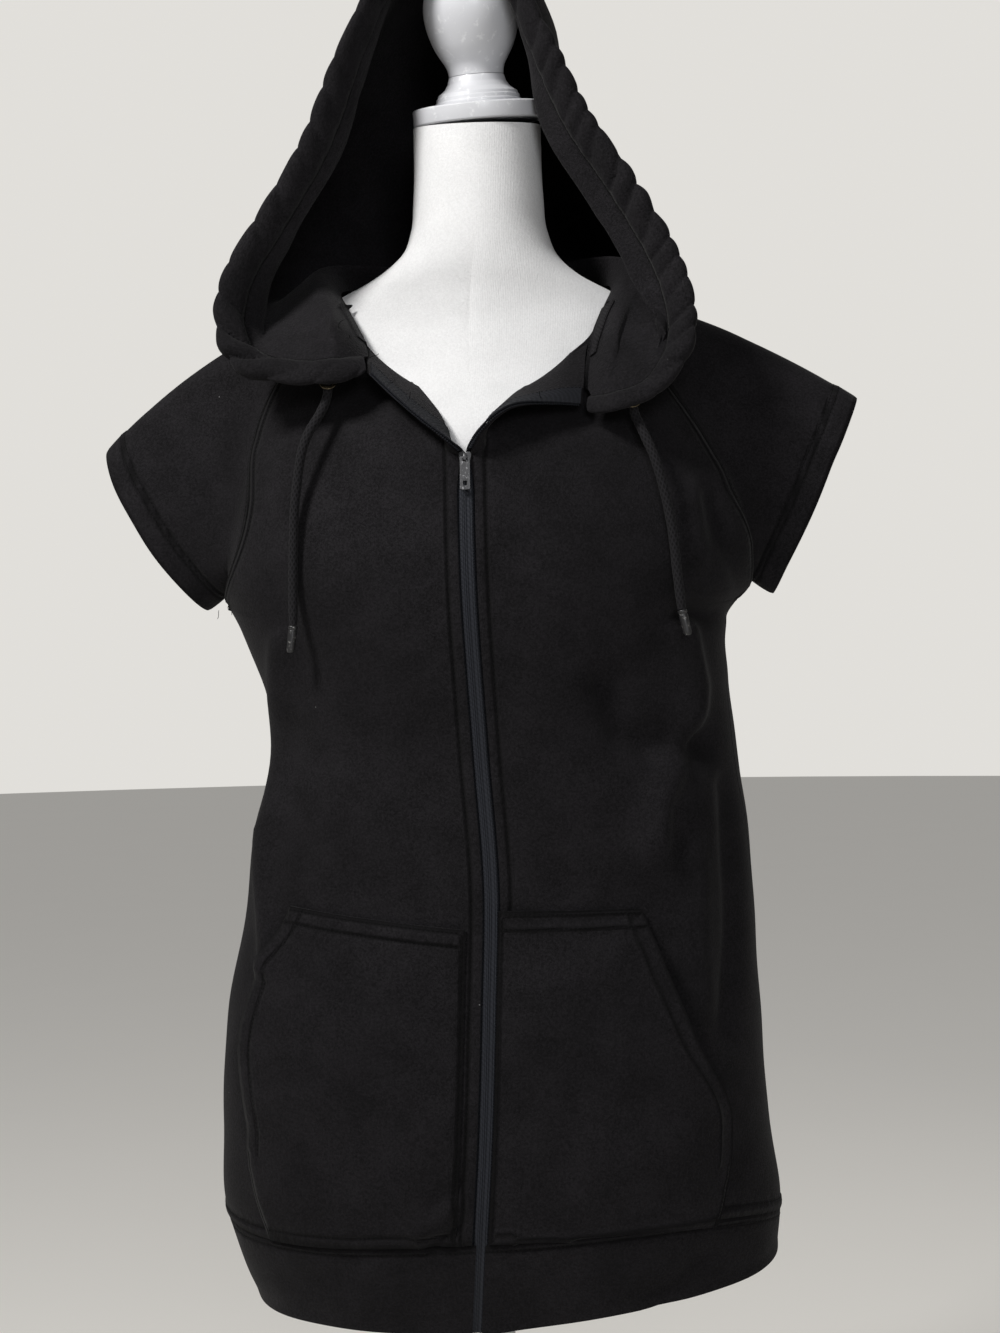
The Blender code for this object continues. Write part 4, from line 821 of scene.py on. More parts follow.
def hood_panel(side, hood, way, index):
    inner = pulled_in(hood, ("bottom", "last"))
    inner[0] += unit(hood[1] - hood[0]) * 1.5 * (index < 3.5)[:, None]
    way[0, (index > 0.5) & (index < 3.5)] *= 0.6
    _, _, d, _ = casing_frame(side, np.maximum(HOOD_V, 0.26))
    give = (2 * CASING_HALF * (1 - slim(side, HOOD_V)) if side > 0 else 0 * HOOD_V)[:, None]
    low = (1 - smooth(0, 0.3, HOOD_V))[:, None]
    inner[:, 0] -= unit(inner[:, 1] - inner[:, 0]) * 2.6 * (1 - low)
    for column, share in enumerate((1, 0.93, 0.86, 0.75, 0.62, 0.5, 0.38, 0.28, 0.18, 0.1, 0.04)):
        inner[:, column] -= d * give * share * (1 - low)
    made = Panel(inner, way, FLEECE)
    made.raised("last", 6.0, 0.8)
    made.raised("bottom", 5.0, 0.8)
    made.stitched("last", 5.5)
    made.stitched("bottom", 5.0, columns=slice(3, None))
    return made


def back_panel(back, way):
    made = Panel(pulled_in(pulled_in(back, ("bottom", "top")), ("first", "last"), 0.5), way, FLEECE)
    for edge in ("first", "last"):
        made.raised(edge, 5.5, 0.9, rows=HIGH)
        made.stitched(edge, 5.5, rows=HIGH)
    made.raised("bottom", 6.0, 0.9)
    made.stitched("bottom", 6.0)
    made.raised("top", 6.0, 0.6)
    made.stitched("top", 6.0)
    return made


def band_panel(band, way):
    made = Panel(pulled_in(band, ("top",)), way, BAND_WALL)
    made.thick += 1.0 * (1 - smooth(0, 9, np.linalg.norm(band - band[:1], axis=-1))) - 0.5
    made.stitched("top", 5.0)
    made.rims.append(made.inner[-1])
    return made


def pocket_patch(side, v, u):
    """The cloth under a pocket, as its (turn, level)."""
    edge = POCKET_EDGE[side]
    outer = np.stack(locate(along(edge, "v", "x", v), along(edge, "v", "z", v)), -1)
    foot = -405
    z = foot + (POCKET_TOP[side] - foot) * v
    inner = np.stack(locate(zip_x(z) + POCKET_INNER[side], z), -1)
    turn = inner[0, 0] + (outer[0, 0] - inner[0, 0]) * u
    bottom = np.stack([turn, along(BAND_SEAM, "turn", "z", turn % 360) + 1.0], -1)
    inner[0], outer[0] = bottom[0], bottom[-1]
    top = inner[-1] + (outer[-1] - inner[-1]) * u[:, None]
    return coons(bottom, top, inner, outer, u, v)


def pocket_panel(side):
    rows, columns = 64, 44
    v, u = spread(rows + 1, 0.08), spread(columns + 1, 0.08)
    turn, level = np.moveaxis(pocket_patch(side, v, u), -1, 0)
    e = 0.25
    sideways = body(turn + e, level) - body(turn - e, level)
    upward = body(turn, level + e) - body(turn, level - e)
    ways = unit(np.cross(sideways, upward))
    gape = np.clip(np.sin(np.pi * np.clip((v - 0.3) / 0.66, 0, 1)), 0, 1)[:, None]
    belly = 4.0 * np.sin(np.pi * v)[:, None] * np.sin(np.pi * u)
    lift = FLEECE + 0.8 + POCKET_GAPE * gape * u[None] ** 1.6 + belly
    face = relief(body(turn, level) + ways * lift[..., None])
    made = Panel(face, unit(normals(face) * side), POCKET_WALL)
    made.way = made.way * np.sign((made.way * ways).sum())
    closed_rows = int(rows * 0.3)
    mouth = slice(closed_rows, None)
    made.raised("top", 13.6, 0.7)
    made.raised("last", 12.5, 0.7, rows=mouth)
    made.thick -= 1.3 * (1 - smooth(0, 6, nearest(face, face[:, 0])))
    made.thick -= 1.1 * (1 - smooth(0, 5, nearest(face, face[:closed_rows, -1])))
    made.stitched("first", 2.2, rows=slice(2, -3))
    made.stitched("top", 2.5, columns=slice(3, -2))
    made.stitched("top", 12.6, columns=slice(3, None))
    made.stitched("last", 12.5, rows=mouth)
    made.stitched("last", 3.0, rows=slice(0, int(rows * 0.32)))
    made.stitched("bottom", 8.0, columns=slice(3, -2))
    made.rims += [face[:, 0], face[:closed_rows, -1], face[0]]
    return made


MADE = {}


def pattern():
    """Every panel on the figure, worked out once."""
    if MADE:
        return MADE
    index = neckline_index()
    fronts, back, sleeves, hoods = plain_faces(index)
    for side in (-1, 1):
        fronts[side] = relief(fronts[side])
        sleeves[side] = relief(sleeves[side])
        leave = smooth(0, 26, np.linalg.norm(hoods[side] - hoods[side][:, :1], axis=-1))
        low = 1 - smooth(0, 0.6, HOOD_V)[:, None]
        hoods[side] = relief(hoods[side], np.maximum(leave, low))
    back = relief(back)
    seams = Seams()
    facing, sleeve_facing, hood_facing, facing_back = {}, {}, {}, normals(back)
    for side in (-1, 1):
        facing[side] = normals(fronts[side]) * side
        seams.add(fronts[side], facing[side])
    seams.add(back, facing_back)
    for side in (-1, 1):
        way = normals(sleeves[side], closed=True)
        sleeve_facing[side] = way * np.sign(way[3, HIGH_ROWS + SLEEVE_TOP // 2, 2])
        seams.add(sleeves[side], sleeve_facing[side], closed=True)
        hood_facing[side] = normals(hoods[side]) * side
        seams.add(hoods[side], hood_facing[side])
    band, facing_band = band_face()

    panels = {}
    for side, label in SIDES:
        front, sleeve, hood = fronts[side], sleeves[side], hoods[side]
        panels["front_" + label] = front_panel(front, seams.share(front, facing[side]))
        way = seams.share(sleeve, sleeve_facing[side], closed=True)
        panels["sleeve_" + label] = sleeve_panel(sleeve, way)
        panels["hood_" + label] = hood_panel(side, hood, seams.share(hood, hood_facing[side]), index)
    panels["back"] = back_panel(back, seams.share(back, facing_back))
    panels["hem_band"] = band_panel(band, facing_band)
    for side, label in SIDES:
        panels["pocket_" + label] = pocket_panel(side)
    MADE.update(panels=panels, fronts=fronts, facing=facing, band=band, facing_band=facing_band,
                hoods=hoods, hood_facing=hood_facing, index=index)
    return MADE


# ---------------------------------------------------------------- meshes
def finish(name, bm, looks, smooth_angle=50.0):
    """The mesh as an object in metres, its faces pointing out, its materials in order."""
    bmesh.ops.recalc_face_normals(bm, faces=bm.faces[:])
    for vert in bm.verts:
        vert.co = Vector((vert.co.x, vert.co.y, vert.co.z + WAIST)) * MM
    mesh = bpy.data.meshes.new(name)
    bm.to_mesh(mesh)
    bm.free()
    mesh.shade_smooth()
    mesh.set_sharp_from_angle(angle=math.radians(smooth_angle))
    for look in looks:
        mesh.materials.append(look)
    obj = bpy.data.objects.new(name, mesh)
    bpy.context.collection.objects.link(obj)
    return obj


def lay(bm, points, closed, across=None, up=None):
    """A grid primitive laid on rows of points, with its lengths as the cloth's UV map."""
    if closed:
        points = np.concatenate([points, points[:, :1]], 1)
    rows, columns = points.shape[:2]
    if across is None:
        across = np.concatenate([np.zeros((rows, 1)),
                                 np.cumsum(np.linalg.norm(np.diff(points, axis=1), axis=-1), 1)], 1)
        up = np.concatenate([np.zeros((1, columns)),
                             np.cumsum(np.linalg.norm(np.diff(points, axis=0), axis=-1), 0)], 0)
    index = bm.verts.layers.int.new("index")
    cloth = bm.loops.layers.uv.new("cloth")
    made = bmesh.ops.create_grid(bm, x_segments=columns - 1, y_segments=rows - 1, size=1)["verts"]
    order = sorted(made, key=lambda vert: (round(vert.co.y, 5), vert.co.x))
    flat = points.reshape(-1, 3)
    for number, vert in enumerate(order):
        vert[index] = number
        vert.co = flat[number]
    across, up = across.reshape(-1) * MM, up.reshape(-1) * MM
    for face in bm.faces:
        for loop in face.loops:
            number = loop.vert[index]
            loop[cloth].uv = (across[number], up[number])
    return index


def cloth_wall(name, panel, looks):
    """A wall of cloth: a grid on the inside face, extruded to the outside face."""
    bm = bmesh.new()
    near = panel.near_stitch()
    inner, outer = panel.inner, panel.outer
    index = lay(bm, inner, panel.closed)
    if panel.closed:
        near = np.concatenate([near, near[:, :1]], 1)
        outer = np.concatenate([outer, outer[:, :1]], 1)
    stitch = bm.verts.layers.float.new("stitch")
    for vert in bm.verts:
        vert[stitch] = NO_STITCH
    for face in bm.faces:
        face.material_index = 1
    if panel.closed:
        bmesh.ops.remove_doubles(bm, verts=bm.verts[:], dist=1e-3)
    made = bmesh.ops.extrude_face_region(bm, geom=bm.faces[:] + bm.edges[:] + bm.verts[:], use_keep_orig=True)
    flat, far = outer.reshape(-1, 3), near.reshape(-1) * MM
    for item in made["geom"]:
        if isinstance(item, bmesh.types.BMVert):
            item[stitch] = far[item[index]]
            item.co = flat[item[index]]
        elif isinstance(item, bmesh.types.BMFace):
            item.material_index = 0
    return finish(name, bm, looks)


def tube(name, path, radius, look, sides=14):
    """A round tube along a path, with the length and the way round as its UV map."""
    ahead = unit(np.gradient(path, axis=0))
    side = unit(np.cross(ahead, np.array([0.0, -1.0, 0.3])))
    over = np.cross(side, ahead)
    turn = np.radians(np.arange(sides) * 360 / sides)[None, :, None]
    radius = np.broadcast_to(np.asarray(radius, float), (len(path),))[:, None, None]
    rings = path[:, None] + (side[:, None] * np.cos(turn) + over[:, None] * np.sin(turn)) * radius
    run = run_of(path)
    bm = bmesh.new()
    around = np.linspace(0, 1000, sides + 1)[None] + 0 * run[:, None]
    lay(bm, rings, True, around, run[:, None] + 0 * around)
    bmesh.ops.remove_doubles(bm, verts=bm.verts[:], dist=1e-4)
    bmesh.ops.holes_fill(bm, edges=[edge for edge in bm.edges if edge.is_boundary], sides=0)
    return finish(name, bm, [look], 60)


def turned(name, profile, look, lean=0.0, segments=96, at=(0, 0, 0), matrix=None, sharp=40.0, tilt=0.0):
    """A turned solid from (radius, height) rows, closed on its axis at both ends."""
    bm = bmesh.new()
    verts = [bm.verts.new((r, 0, z)) for r, z in profile]
    for a, b in zip(verts, verts[1:]):
        bm.edges.new((a, b))
    bmesh.ops.spin(bm, geom=bm.verts[:] + bm.edges[:], cent=(0, 0, 0), axis=(0, 0, 1), angle=math.tau,
                   steps=segments, use_merge=True)
    bmesh.ops.remove_doubles(bm, verts=bm.verts[:], dist=1e-4)
    tilted = Matrix.Translation(Vector(at)) @ Matrix.Rotation(tilt, 4, "X")
    place = matrix or tilted @ Matrix.Rotation(lean, 4, "Y")
    bmesh.ops.transform(bm, matrix=place, verts=bm.verts[:])
    return finish(name, bm, [look], sharp)


def rounded(profile, radius=0.8, steps=3):
    """A profile with its corners rounded."""
    out = [profile[0]]
    for a, b, c in zip(profile, profile[1:], profile[2:]):
        a, b, c = (np.array(p, float) for p in (a, b, c))
        one, two = np.linalg.norm(a - b), np.linalg.norm(c - b)
        cut = min(radius, one * 0.45, two * 0.45)
        p, q = b + (a - b) / max(one, 1e-6) * cut, b + (c - b) / max(two, 1e-6) * cut
        for k in range(steps + 1):
            t = k / steps
            out.append(tuple(p * (1 - t) ** 2 + 2 * b * t * (1 - t) + q * t * t))
    return out + [profile[-1]]


def ride(obj, slot, *nodes, body="garment_and_form"):
    """Puts a piece on its body, in place of its solids; its slot is not used."""
    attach(obj, body)
    if nodes:
        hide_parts(*nodes)
    return obj

# ---------------------------------------------------------------- finishes
def node(tree, kind, settings=None, **inputs):
    """A shader node with its settings, its values and its links."""
    made = tree.nodes.new(kind)
    for key, value in (settings or {}).items():
        setattr(made, key, value)
    for key, value in inputs.items():
        numbered = key[0] == "i" and key[1:].isdigit()
        socket = made.inputs[int(key[1:]) if numbered else key.replace("_", " ")]
        if isinstance(value, bpy.types.NodeSocket):
            tree.links.new(value, socket)
        else:
            socket.default_value = value
    return made


def maths(tree, operation, a, b=0.5):
    return node(tree, "ShaderNodeMath", {"operation": operation}, i0=a, i1=b).outputs[0]


def times(tree, a, b):
    return maths(tree, "MULTIPLY", a, b)


def plus(tree, a, b):
    return maths(tree, "ADD", a, b)


def noise(tree, place, scale, detail, roughness):
    made = node(tree, "ShaderNodeTexNoise", None, Vector=place, Scale=scale, Detail=detail,
                Roughness=roughness)
    return made.outputs[0]


def bands(tree, cloth, direction, scale, distortion, detail, detail_scale):
    """Soft stripes across the cloth."""
    settings = {"wave_type": "BANDS", "bands_direction": direction}
    made = node(tree, "ShaderNodeTexWave", settings, Vector=cloth, Scale=scale, Distortion=distortion,
                Detail=detail, Detail_Scale=detail_scale)
    return made.outputs["Fac"]


def ranged(tree, value, low, high, to_low, to_high):
    return node(tree, "ShaderNodeMapRange", {"interpolation_type": "SMOOTHSTEP"}, Value=value, From_Min=low,
                From_Max=high,
                To_Min=to_low, To_Max=to_high).outputs[0]


def group(name, inputs, outputs):
    """An empty node group with its sockets, or the one that is already there."""
    tree = bpy.data.node_groups.get(name)
    if tree:
        return tree, None, None
    tree = bpy.data.node_groups.new(name, "ShaderNodeTree")
    for label, kind, value in inputs:
        socket = tree.interface.new_socket(label, in_out="INPUT", socket_type=kind)
        if kind == "NodeSocketFloat":
            socket.default_value = value
    for label, kind in outputs:
        tree.interface.new_socket(label, in_out="OUTPUT", socket_type=kind)
    return tree, tree.nodes.new("NodeGroupInput"), tree.nodes.new("NodeGroupOutput")


def fleece_nap():
    """Knitted fleece: fine loops and clumps of nap, lint, the dents and puckers along stitching, and painted
    shade that darkens the colour in those dents.
    """
    tree, given, out = group("fleece_nap", [("Place", "NodeSocketVector", 0),
                                            ("Cloth", "NodeSocketVector", 0),
                                            ("Stitch", "NodeSocketFloat", NO_STITCH),
                                            ("Nap", "NodeSocketFloat", 1.0),
                                            ("Knit", "NodeSocketFloat", 1.0)],
                             [("Tone", "NodeSocketFloat"), ("Lint", "NodeSocketFloat"),
                              ("Height", "NodeSocketFloat")])
    if given is None:
        return tree
    place, cloth, stitch, nap, knit = (given.outputs[k] for k in ("Place", "Cloth", "Stitch", "Nap", "Knit"))
    fibre = noise(tree, place, 1300.0, 2.0, 0.6)
    clump = noise(tree, place, 560.0, 3.0, 0.55)
    rub = noise(tree, place, 38.0, 3.0, 0.5)
    broad = noise(tree, place, 9.0, 2.0, 0.5)
    wale = bands(tree, cloth, "X", 235.0, 1.2, 1.0, 3.0)
    course = bands(tree, cloth, "Y", 310.0, 0.8, 1.0, 3.0)
    loops = times(tree, times(tree, wale, course), knit)
    speck = node(tree, "ShaderNodeTexVoronoi", None, Vector=place, Scale=52.0,
                 Randomness=1.0).outputs["Distance"]
    chosen = noise(tree, place, 21.0, 1.0, 0.5)
    lint = times(tree, ranged(tree, speck, 0.012, 0.034, 1.0, 0.0),
                 ranged(tree, chosen, 0.58, 0.63, 0.0, 1.0))
    dent_and_shade = ranged(tree, stitch, 0.0, 0.0026, 1.0, 0.0)
    puff = maths(tree, "POWER", ranged(tree, stitch, 0.0, 0.008, 0.0, 1.0), 0.5)
    close = ranged(tree, stitch, 0.0008, 0.009, 1.0, 0.0)
    pucker = noise(tree, place, 150.0, 1.0, 0.4)
    tone = plus(tree, times(tree, ranged(tree, fibre, 0.3, 0.7, 0.0, 1.0), 0.4),
                times(tree, ranged(tree, clump, 0.3, 0.7, 0.0, 1.0), 0.4))
    tone = plus(tree, tone, times(tree, ranged(tree, rub, 0.3, 0.7, 0.0, 1.0), 0.2))
    tone = times(tree, tone, ranged(tree, broad, 0.3, 0.7, 0.82, 1.14))
    # painted shade: the colour is darkened in the dent along each line of stitching, where shade would fall
    tone = times(tree, tone, maths(tree, "SUBTRACT", 1.0, times(tree, dent_and_shade, 0.8)))
    height = plus(tree, times(tree, fibre, 0.16), times(tree, clump, 0.42))
    height = times(tree, height, nap)
    height = plus(tree, height, times(tree, loops, 0.09))
    height = plus(tree, height, times(tree, times(tree, pucker, close), 1.5))
    height = maths(tree, "SUBTRACT", height, times(tree, dent_and_shade, 1.1))
    height = plus(tree, height, times(tree, puff, 1.7))
    for label, value in (("Tone", tone), ("Lint", lint), ("Height", height)):
        tree.links.new(value, out.inputs[label])
    return tree


def woven():
    """A narrow woven tape: fine twill lines and its yarns."""
    tree, given, out = group("woven_tape", [("Place", "NodeSocketVector", 0),
                                            ("Cloth", "NodeSocketVector", 0)],
                             [("Tone", "NodeSocketFloat"), ("Height", "NodeSocketFloat")])
    if given is None:
        return tree
    place, cloth = given.outputs["Place"], given.outputs["Cloth"]
    twill = bands(tree, cloth, "DIAGONAL", 170.0, 0.4, 1.0, 2.0)
    warp = bands(tree, cloth, "X", 330.0, 0.2, 0.0, 1.0)
    grain = noise(tree, place, 700.0, 2.0, 0.6)
    tone = plus(tree, times(tree, twill, 0.4), times(tree, grain, 0.7))
    height = plus(tree, times(tree, twill, 0.14), times(tree, warp, 0.1))
    tree.links.new(tone, out.inputs["Tone"])
    tree.links.new(height, out.inputs["Height"])
    return tree


def braided():
    """A round braid: strands that cross both ways round the cord."""
    tree, given, out = group("round_braid", [("Place", "NodeSocketVector", 0),
                                             ("Cloth", "NodeSocketVector", 0),
                                             ("Strands", "NodeSocketFloat", 7.0),
                                             ("Pitch", "NodeSocketFloat", 0.0055)],
                             [("Tone", "NodeSocketFloat"), ("Height", "NodeSocketFloat")])
    if given is None:
        return tree
    parts = node(tree, "ShaderNodeSeparateXYZ", None, Vector=given.outputs["Cloth"])
    around = times(tree, parts.outputs["X"], given.outputs["Strands"])
    length = maths(tree, "DIVIDE", parts.outputs["Y"], given.outputs["Pitch"])
    ways = []
    for operation in ("ADD", "SUBTRACT"):
        phase = times(tree, maths(tree, operation, around, length), math.tau)
        ways.append(maths(tree, "SINE", phase))
    crossed = maths(tree, "MAXIMUM", ways[0], ways[1])
    grain = noise(tree, given.outputs["Place"], 1100.0, 2.0, 0.6)
    tone = plus(tree, times(tree, ranged(tree, crossed, -0.4, 1.0, 0.0, 1.0), 0.6), times(tree, grain, 0.4))
    height = plus(tree, times(tree, crossed, 0.22), times(tree, grain, 0.12))
    tree.links.new(tone, out.inputs["Tone"])
    tree.links.new(height, out.inputs["Height"])
    return tree


def handled():
    """Paint or metal that has been handled: rubbed spots, fine scratches and smudges."""
    tree, given, out = group("handled_surface", [("Place", "NodeSocketVector", 0),
                                                 ("Size", "NodeSocketFloat", 1.0)],
                             [("Rubbed", "NodeSocketFloat"), ("Smudge", "NodeSocketFloat"),
                              ("Height", "NodeSocketFloat")])
    if given is None:
        return tree
    place = node(tree, "ShaderNodeVectorMath", {"operation": "SCALE"}, i0=given.outputs["Place"],
                 Scale=given.outputs["Size"]).outputs[0]
    spots = noise(tree, place, 420.0, 4.0, 0.65)
    smudge = noise(tree, place, 45.0, 3.0, 0.55)
    stretched = node(tree, "ShaderNodeMapping", None, Vector=place, Scale=(1.0, 1.0, 0.12)).outputs[0]
    scratch = noise(tree, stretched, 1500.0, 2.0, 0.6)
    tree.links.new(ranged(tree, spots, 0.56, 0.68, 0.0, 1.0), out.inputs["Rubbed"])
    tree.links.new(smudge, out.inputs["Smudge"])
    tree.links.new(plus(tree, times(tree, scratch, 0.05), times(tree, spots, 0.04)), out.inputs["Height"])
    return tree


def base_material(name):
    """A new material with its shader and the places that its patterns follow."""
    made = bpy.data.materials.new(name)
    made.use_nodes = True
    tree = made.node_tree
    shader = tree.nodes["Principled BSDF"]
    place = tree.nodes.new("ShaderNodeTexCoord").outputs["Object"]
    cloth = node(tree, "ShaderNodeUVMap", {"uv_map": "cloth"}).outputs[0]
    return made, tree, shader, place, cloth


def blend(tree, factor, low, high):
    made = node(tree, "ShaderNodeMix", {"data_type": "RGBA"}, Factor=factor)
    for socket, value in ((made.inputs[6], low), (made.inputs[7], high)):
        if isinstance(value, bpy.types.NodeSocket):
            tree.links.new(value, socket)
        else:
            socket.default_value = (*value, 1)
    return made.outputs[2]


def bump(tree, shader, height, strength=1.0):
    made = node(tree, "ShaderNodeBump", None, Height=height, Strength=strength, Distance=0.001)
    tree.links.new(made.outputs[0], shader.inputs["Normal"])


def fleece(name, dark, light, nap, knit, sheen, lint=(0.12, 0.12, 0.12)):
    found = bpy.data.materials.get(name)
    if found:
        return found
    made, tree, shader, place, cloth = base_material(name)
    stitch = node(tree, "ShaderNodeAttribute", {"attribute_name": "stitch"}).outputs["Fac"]
    grain = node(tree, "ShaderNodeGroup", {"node_tree": fleece_nap()})
    for key, value in (("Place", place), ("Cloth", cloth), ("Stitch", stitch)):
        tree.links.new(value, grain.inputs[key])
    grain.inputs["Nap"].default_value, grain.inputs["Knit"].default_value = nap, knit
    colour = blend(tree, grain.outputs["Lint"], blend(tree, grain.outputs["Tone"], dark, light), lint)
    tree.links.new(colour, shader.inputs["Base Color"])
    tree.links.new(ranged(tree, grain.outputs["Tone"], 0.2, 0.9, 0.97, 0.82), shader.inputs["Roughness"])
    shader.inputs["Sheen Weight"].default_value = sheen
    shader.inputs["Sheen Roughness"].default_value = 0.42
    shader.inputs["Specular IOR Level"].default_value = 0.14
    bump(tree, shader, grain.outputs["Height"])
    made.diffuse_color = (*light, 1)
    return made


def patterned(name, maker, dark, light, roughness, sheen=0.0, strength=1.0, values=()):
    """A woven or braided material."""
    found = bpy.data.materials.get(name)
    if found:
        return found
    made, tree, shader, place, cloth = base_material(name)
    weave = node(tree, "ShaderNodeGroup", {"node_tree": maker()})
    tree.links.new(place, weave.inputs["Place"])
    tree.links.new(cloth, weave.inputs["Cloth"])
    for key, value in values:
        weave.inputs[key].default_value = value
    tree.links.new(blend(tree, weave.outputs["Tone"], dark, light), shader.inputs["Base Color"])
    tree.links.new(ranged(tree, weave.outputs["Tone"], 0.2, 1.0, roughness + 0.08, roughness - 0.08),
                   shader.inputs["Roughness"])
    shader.inputs["Sheen Weight"].default_value = sheen
    shader.inputs["Specular IOR Level"].default_value = 0.12
    bump(tree, shader, weave.outputs["Height"], strength)
    made.diffuse_color = (*light, 1)
    return made


def hard(name, colour, rubbed, roughness, metallic, size=1.0, strength=0.6, coat=0.0):
    """Painted or bare hard stuff with rubbed spots and smudges."""
    found = bpy.data.materials.get(name)
    if found:
        return found
    made, tree, shader, place, _ = base_material(name)
    wear = node(tree, "ShaderNodeGroup", {"node_tree": handled()})
    tree.links.new(place, wear.inputs["Place"])
    wear.inputs["Size"].default_value = size
    low = tuple(c * 0.88 for c in colour)
    colour = blend(tree, wear.outputs["Rubbed"], blend(tree, wear.outputs["Smudge"], low, colour), rubbed)
    tree.links.new(colour, shader.inputs["Base Color"])
    tree.links.new(ranged(tree, wear.outputs["Smudge"], 0.3, 0.7, roughness - 0.06, roughness + 0.1),
                   shader.inputs["Roughness"])
    shader.inputs["Metallic"].default_value = metallic
    shader.inputs["Coat Weight"].default_value = coat
    bump(tree, shader, wear.outputs["Height"], strength)
    made.diffuse_color = (*rubbed, 1)
    return made


def sizes():
    return bpy.context.scene.garment_sizes


def fleece_face():
    cloth = sizes()
    return fleece("fleece_face", tuple(cloth.fleece_dark), tuple(cloth.fleece_light), 1.0, 1.0,
                  cloth.fleece_sheen)


def fleece_inside():
    cloth = sizes()
    return fleece("fleece_inside", tuple(1.1 * c for c in cloth.fleece_dark),
                  tuple(1.2 * c for c in cloth.fleece_light), 2.3, 0.0, cloth.fleece_sheen * 1.2)


def thread_look():
    return patterned("sewing_thread", woven, (0.0008, 0.0008, 0.001), (0.0026, 0.0026, 0.003), 0.85, 0.0, 0.3)


def tape_look():
    return patterned("woven_zip_tape", woven, (0.0034, 0.0037, 0.005), (0.0105, 0.0114, 0.0146), 0.8, 0.01)


def neck_tape_look():
    return patterned("neck_tape_twill", woven, (0.0015, 0.0014, 0.0016), (0.0112, 0.0101, 0.0119), 0.9, 0.02)


def braid_look():
    return patterned("braided_cord", braided, (0.003, 0.0029, 0.0032), (0.0115, 0.0108, 0.0124), 0.88, 0.02,
                     0.6)


def coil_look():
    return patterned("zip_coil_nylon", woven, (0.009, 0.0098, 0.0125), (0.0225, 0.0245, 0.0305), 0.5, 0.0,
                     0.8)


def form_cloth_look():
    return fleece("form_jersey", tuple(0.82 * c for c in sizes().form_colour), tuple(sizes().form_colour),
                  0.5, 1.2, 0.15, (0.62, 0.6, 0.57))


def form_cap_look():
    return hard("form_cap_paint", (0.54, 0.545, 0.57), (0.62, 0.625, 0.64), 0.42, 0.0, 0.35, 0.5, 0.15)


def stand_look():
    return hard("stand_steel", (0.42, 0.42, 0.43), (0.6, 0.6, 0.6), 0.34, 0.9, 0.25, 0.5)


def slider_look():
    return hard("slider_enamel", (0.05, 0.05, 0.053), (0.24, 0.24, 0.25), 0.42, 0.5, 1.0, 0.8)


def aglet_look():
    return hard("aglet_tin", (0.022, 0.022, 0.023), (0.16, 0.155, 0.15), 0.36, 0.35, 1.0, 0.5)


def brass_look():
    return hard("eyelet_brass", (0.11, 0.088, 0.055), (0.3, 0.25, 0.16), 0.34, 1.0, 1.0, 0.5)


# ---------------------------------------------------------------- sizes and colours
def colour_value(name, text, default):
    return bpy.props.FloatVectorProperty(name=name, description=text, subtype="COLOR", size=3, min=0, max=1,
                                         default=default)


def length_value(name, text, least, most, default):
    return bpy.props.FloatProperty(name=name, description=text, unit="LENGTH", subtype="DISTANCE", min=least,
                                   max=most, default=default)


def power_value(name, text, default):
    return bpy.props.FloatProperty(name=name, description=text, unit="POWER", min=0, max=400, default=default)


class GarmentSizes(bpy.types.PropertyGroup):
    """Sizes and colours of the garment, its form and the stage."""

    fleece_dark: colour_value("Fleece, dark", "Colour between the fibres of the fleece",
                              (0.0011, 0.001, 0.0012))
    fleece_light: colour_value("Fleece, light", "Colour of the fibre tips of the fleece",
                               (0.0098, 0.0088, 0.0105))
    fleece_sheen: bpy.props.FloatProperty(name="Fleece sheen",
                                          description="How much the nap catches light from the side",
                                          subtype="FACTOR", min=0, max=1, default=0.022)
    form_colour: colour_value("Form colour", "Colour of the dress form's cloth", (0.68, 0.68, 0.685))
    stitch_length: length_value("Stitch length", "Length of one visible stitch", 0.001, 0.006, 0.0025)
    stitch_gap: length_value("Stitch gap", "Gap between two stitches", 0.0003, 0.003, 0.0008)
    thread_radius: length_value("Thread radius", "Half the sewing thread's thickness", 0.0001, 0.001, 0.00036)
    pucker: length_value("Casing pucker", "Height of the gathers on the drawcord casing", 0, 0.004, 0.0019)
    coil_pitch: length_value("Coil pitch", "Distance from one zip tooth to the next", 0.001, 0.004, 0.0018)
    floor_colour: colour_value("Floor colour", "Colour of the plain floor", (0.74, 0.725, 0.69))
    key_power: power_value("Key light", "Power of the soft light from the upper left", 46)
    fill_power: power_value("Fill light", "Power of the soft light from the right", 5)


def cloth_piece(name, slot="fleece", *, looks=None):
    panel = pattern()["panels"][name]
    obj = cloth_wall(name + "_cloth", panel, looks or [fleece_face(), fleece_inside()])
    ride(obj, slot, name)
    return obj


def sew(name, lines, long=None, wide=None, pitch=None, across=False, look=None):
    """Stitches as small lozenges along lines of places."""
    values = sizes()
    long = long or values.stitch_length / MM
    wide = wide or values.thread_radius / MM
    pitch = pitch or long + values.stitch_gap / MM
    bm = bmesh.new()
    for line, ways in lines:
        place, out, ahead = evenly(line, ways, pitch, pitch / 2)
        side = unit(np.cross(out, ahead))
        bends = np.linalg.norm(np.diff(ahead, axis=0, append=ahead[-1:]), axis=-1)
        for p, n, t, s, bend in zip(place, out, ahead, side, np.maximum(bends, np.roll(bends, 1))):
            if bend > SHARP_TURN:
                continue
            a, b = (s, t) if across else (t, s)
            p = p - n * 0.05
            turn = Matrix([(a[k] * long / 2, b[k] * wide, n[k] * wide, p[k]) for k in range(3)]
                          + [(0, 0, 0, 1)])
            bmesh.ops.create_icosphere(bm, subdivisions=1, radius=1, matrix=turn)
    bm.loops.layers.uv.new("cloth")
    return finish(name, bm, [look or thread_look()], 80)


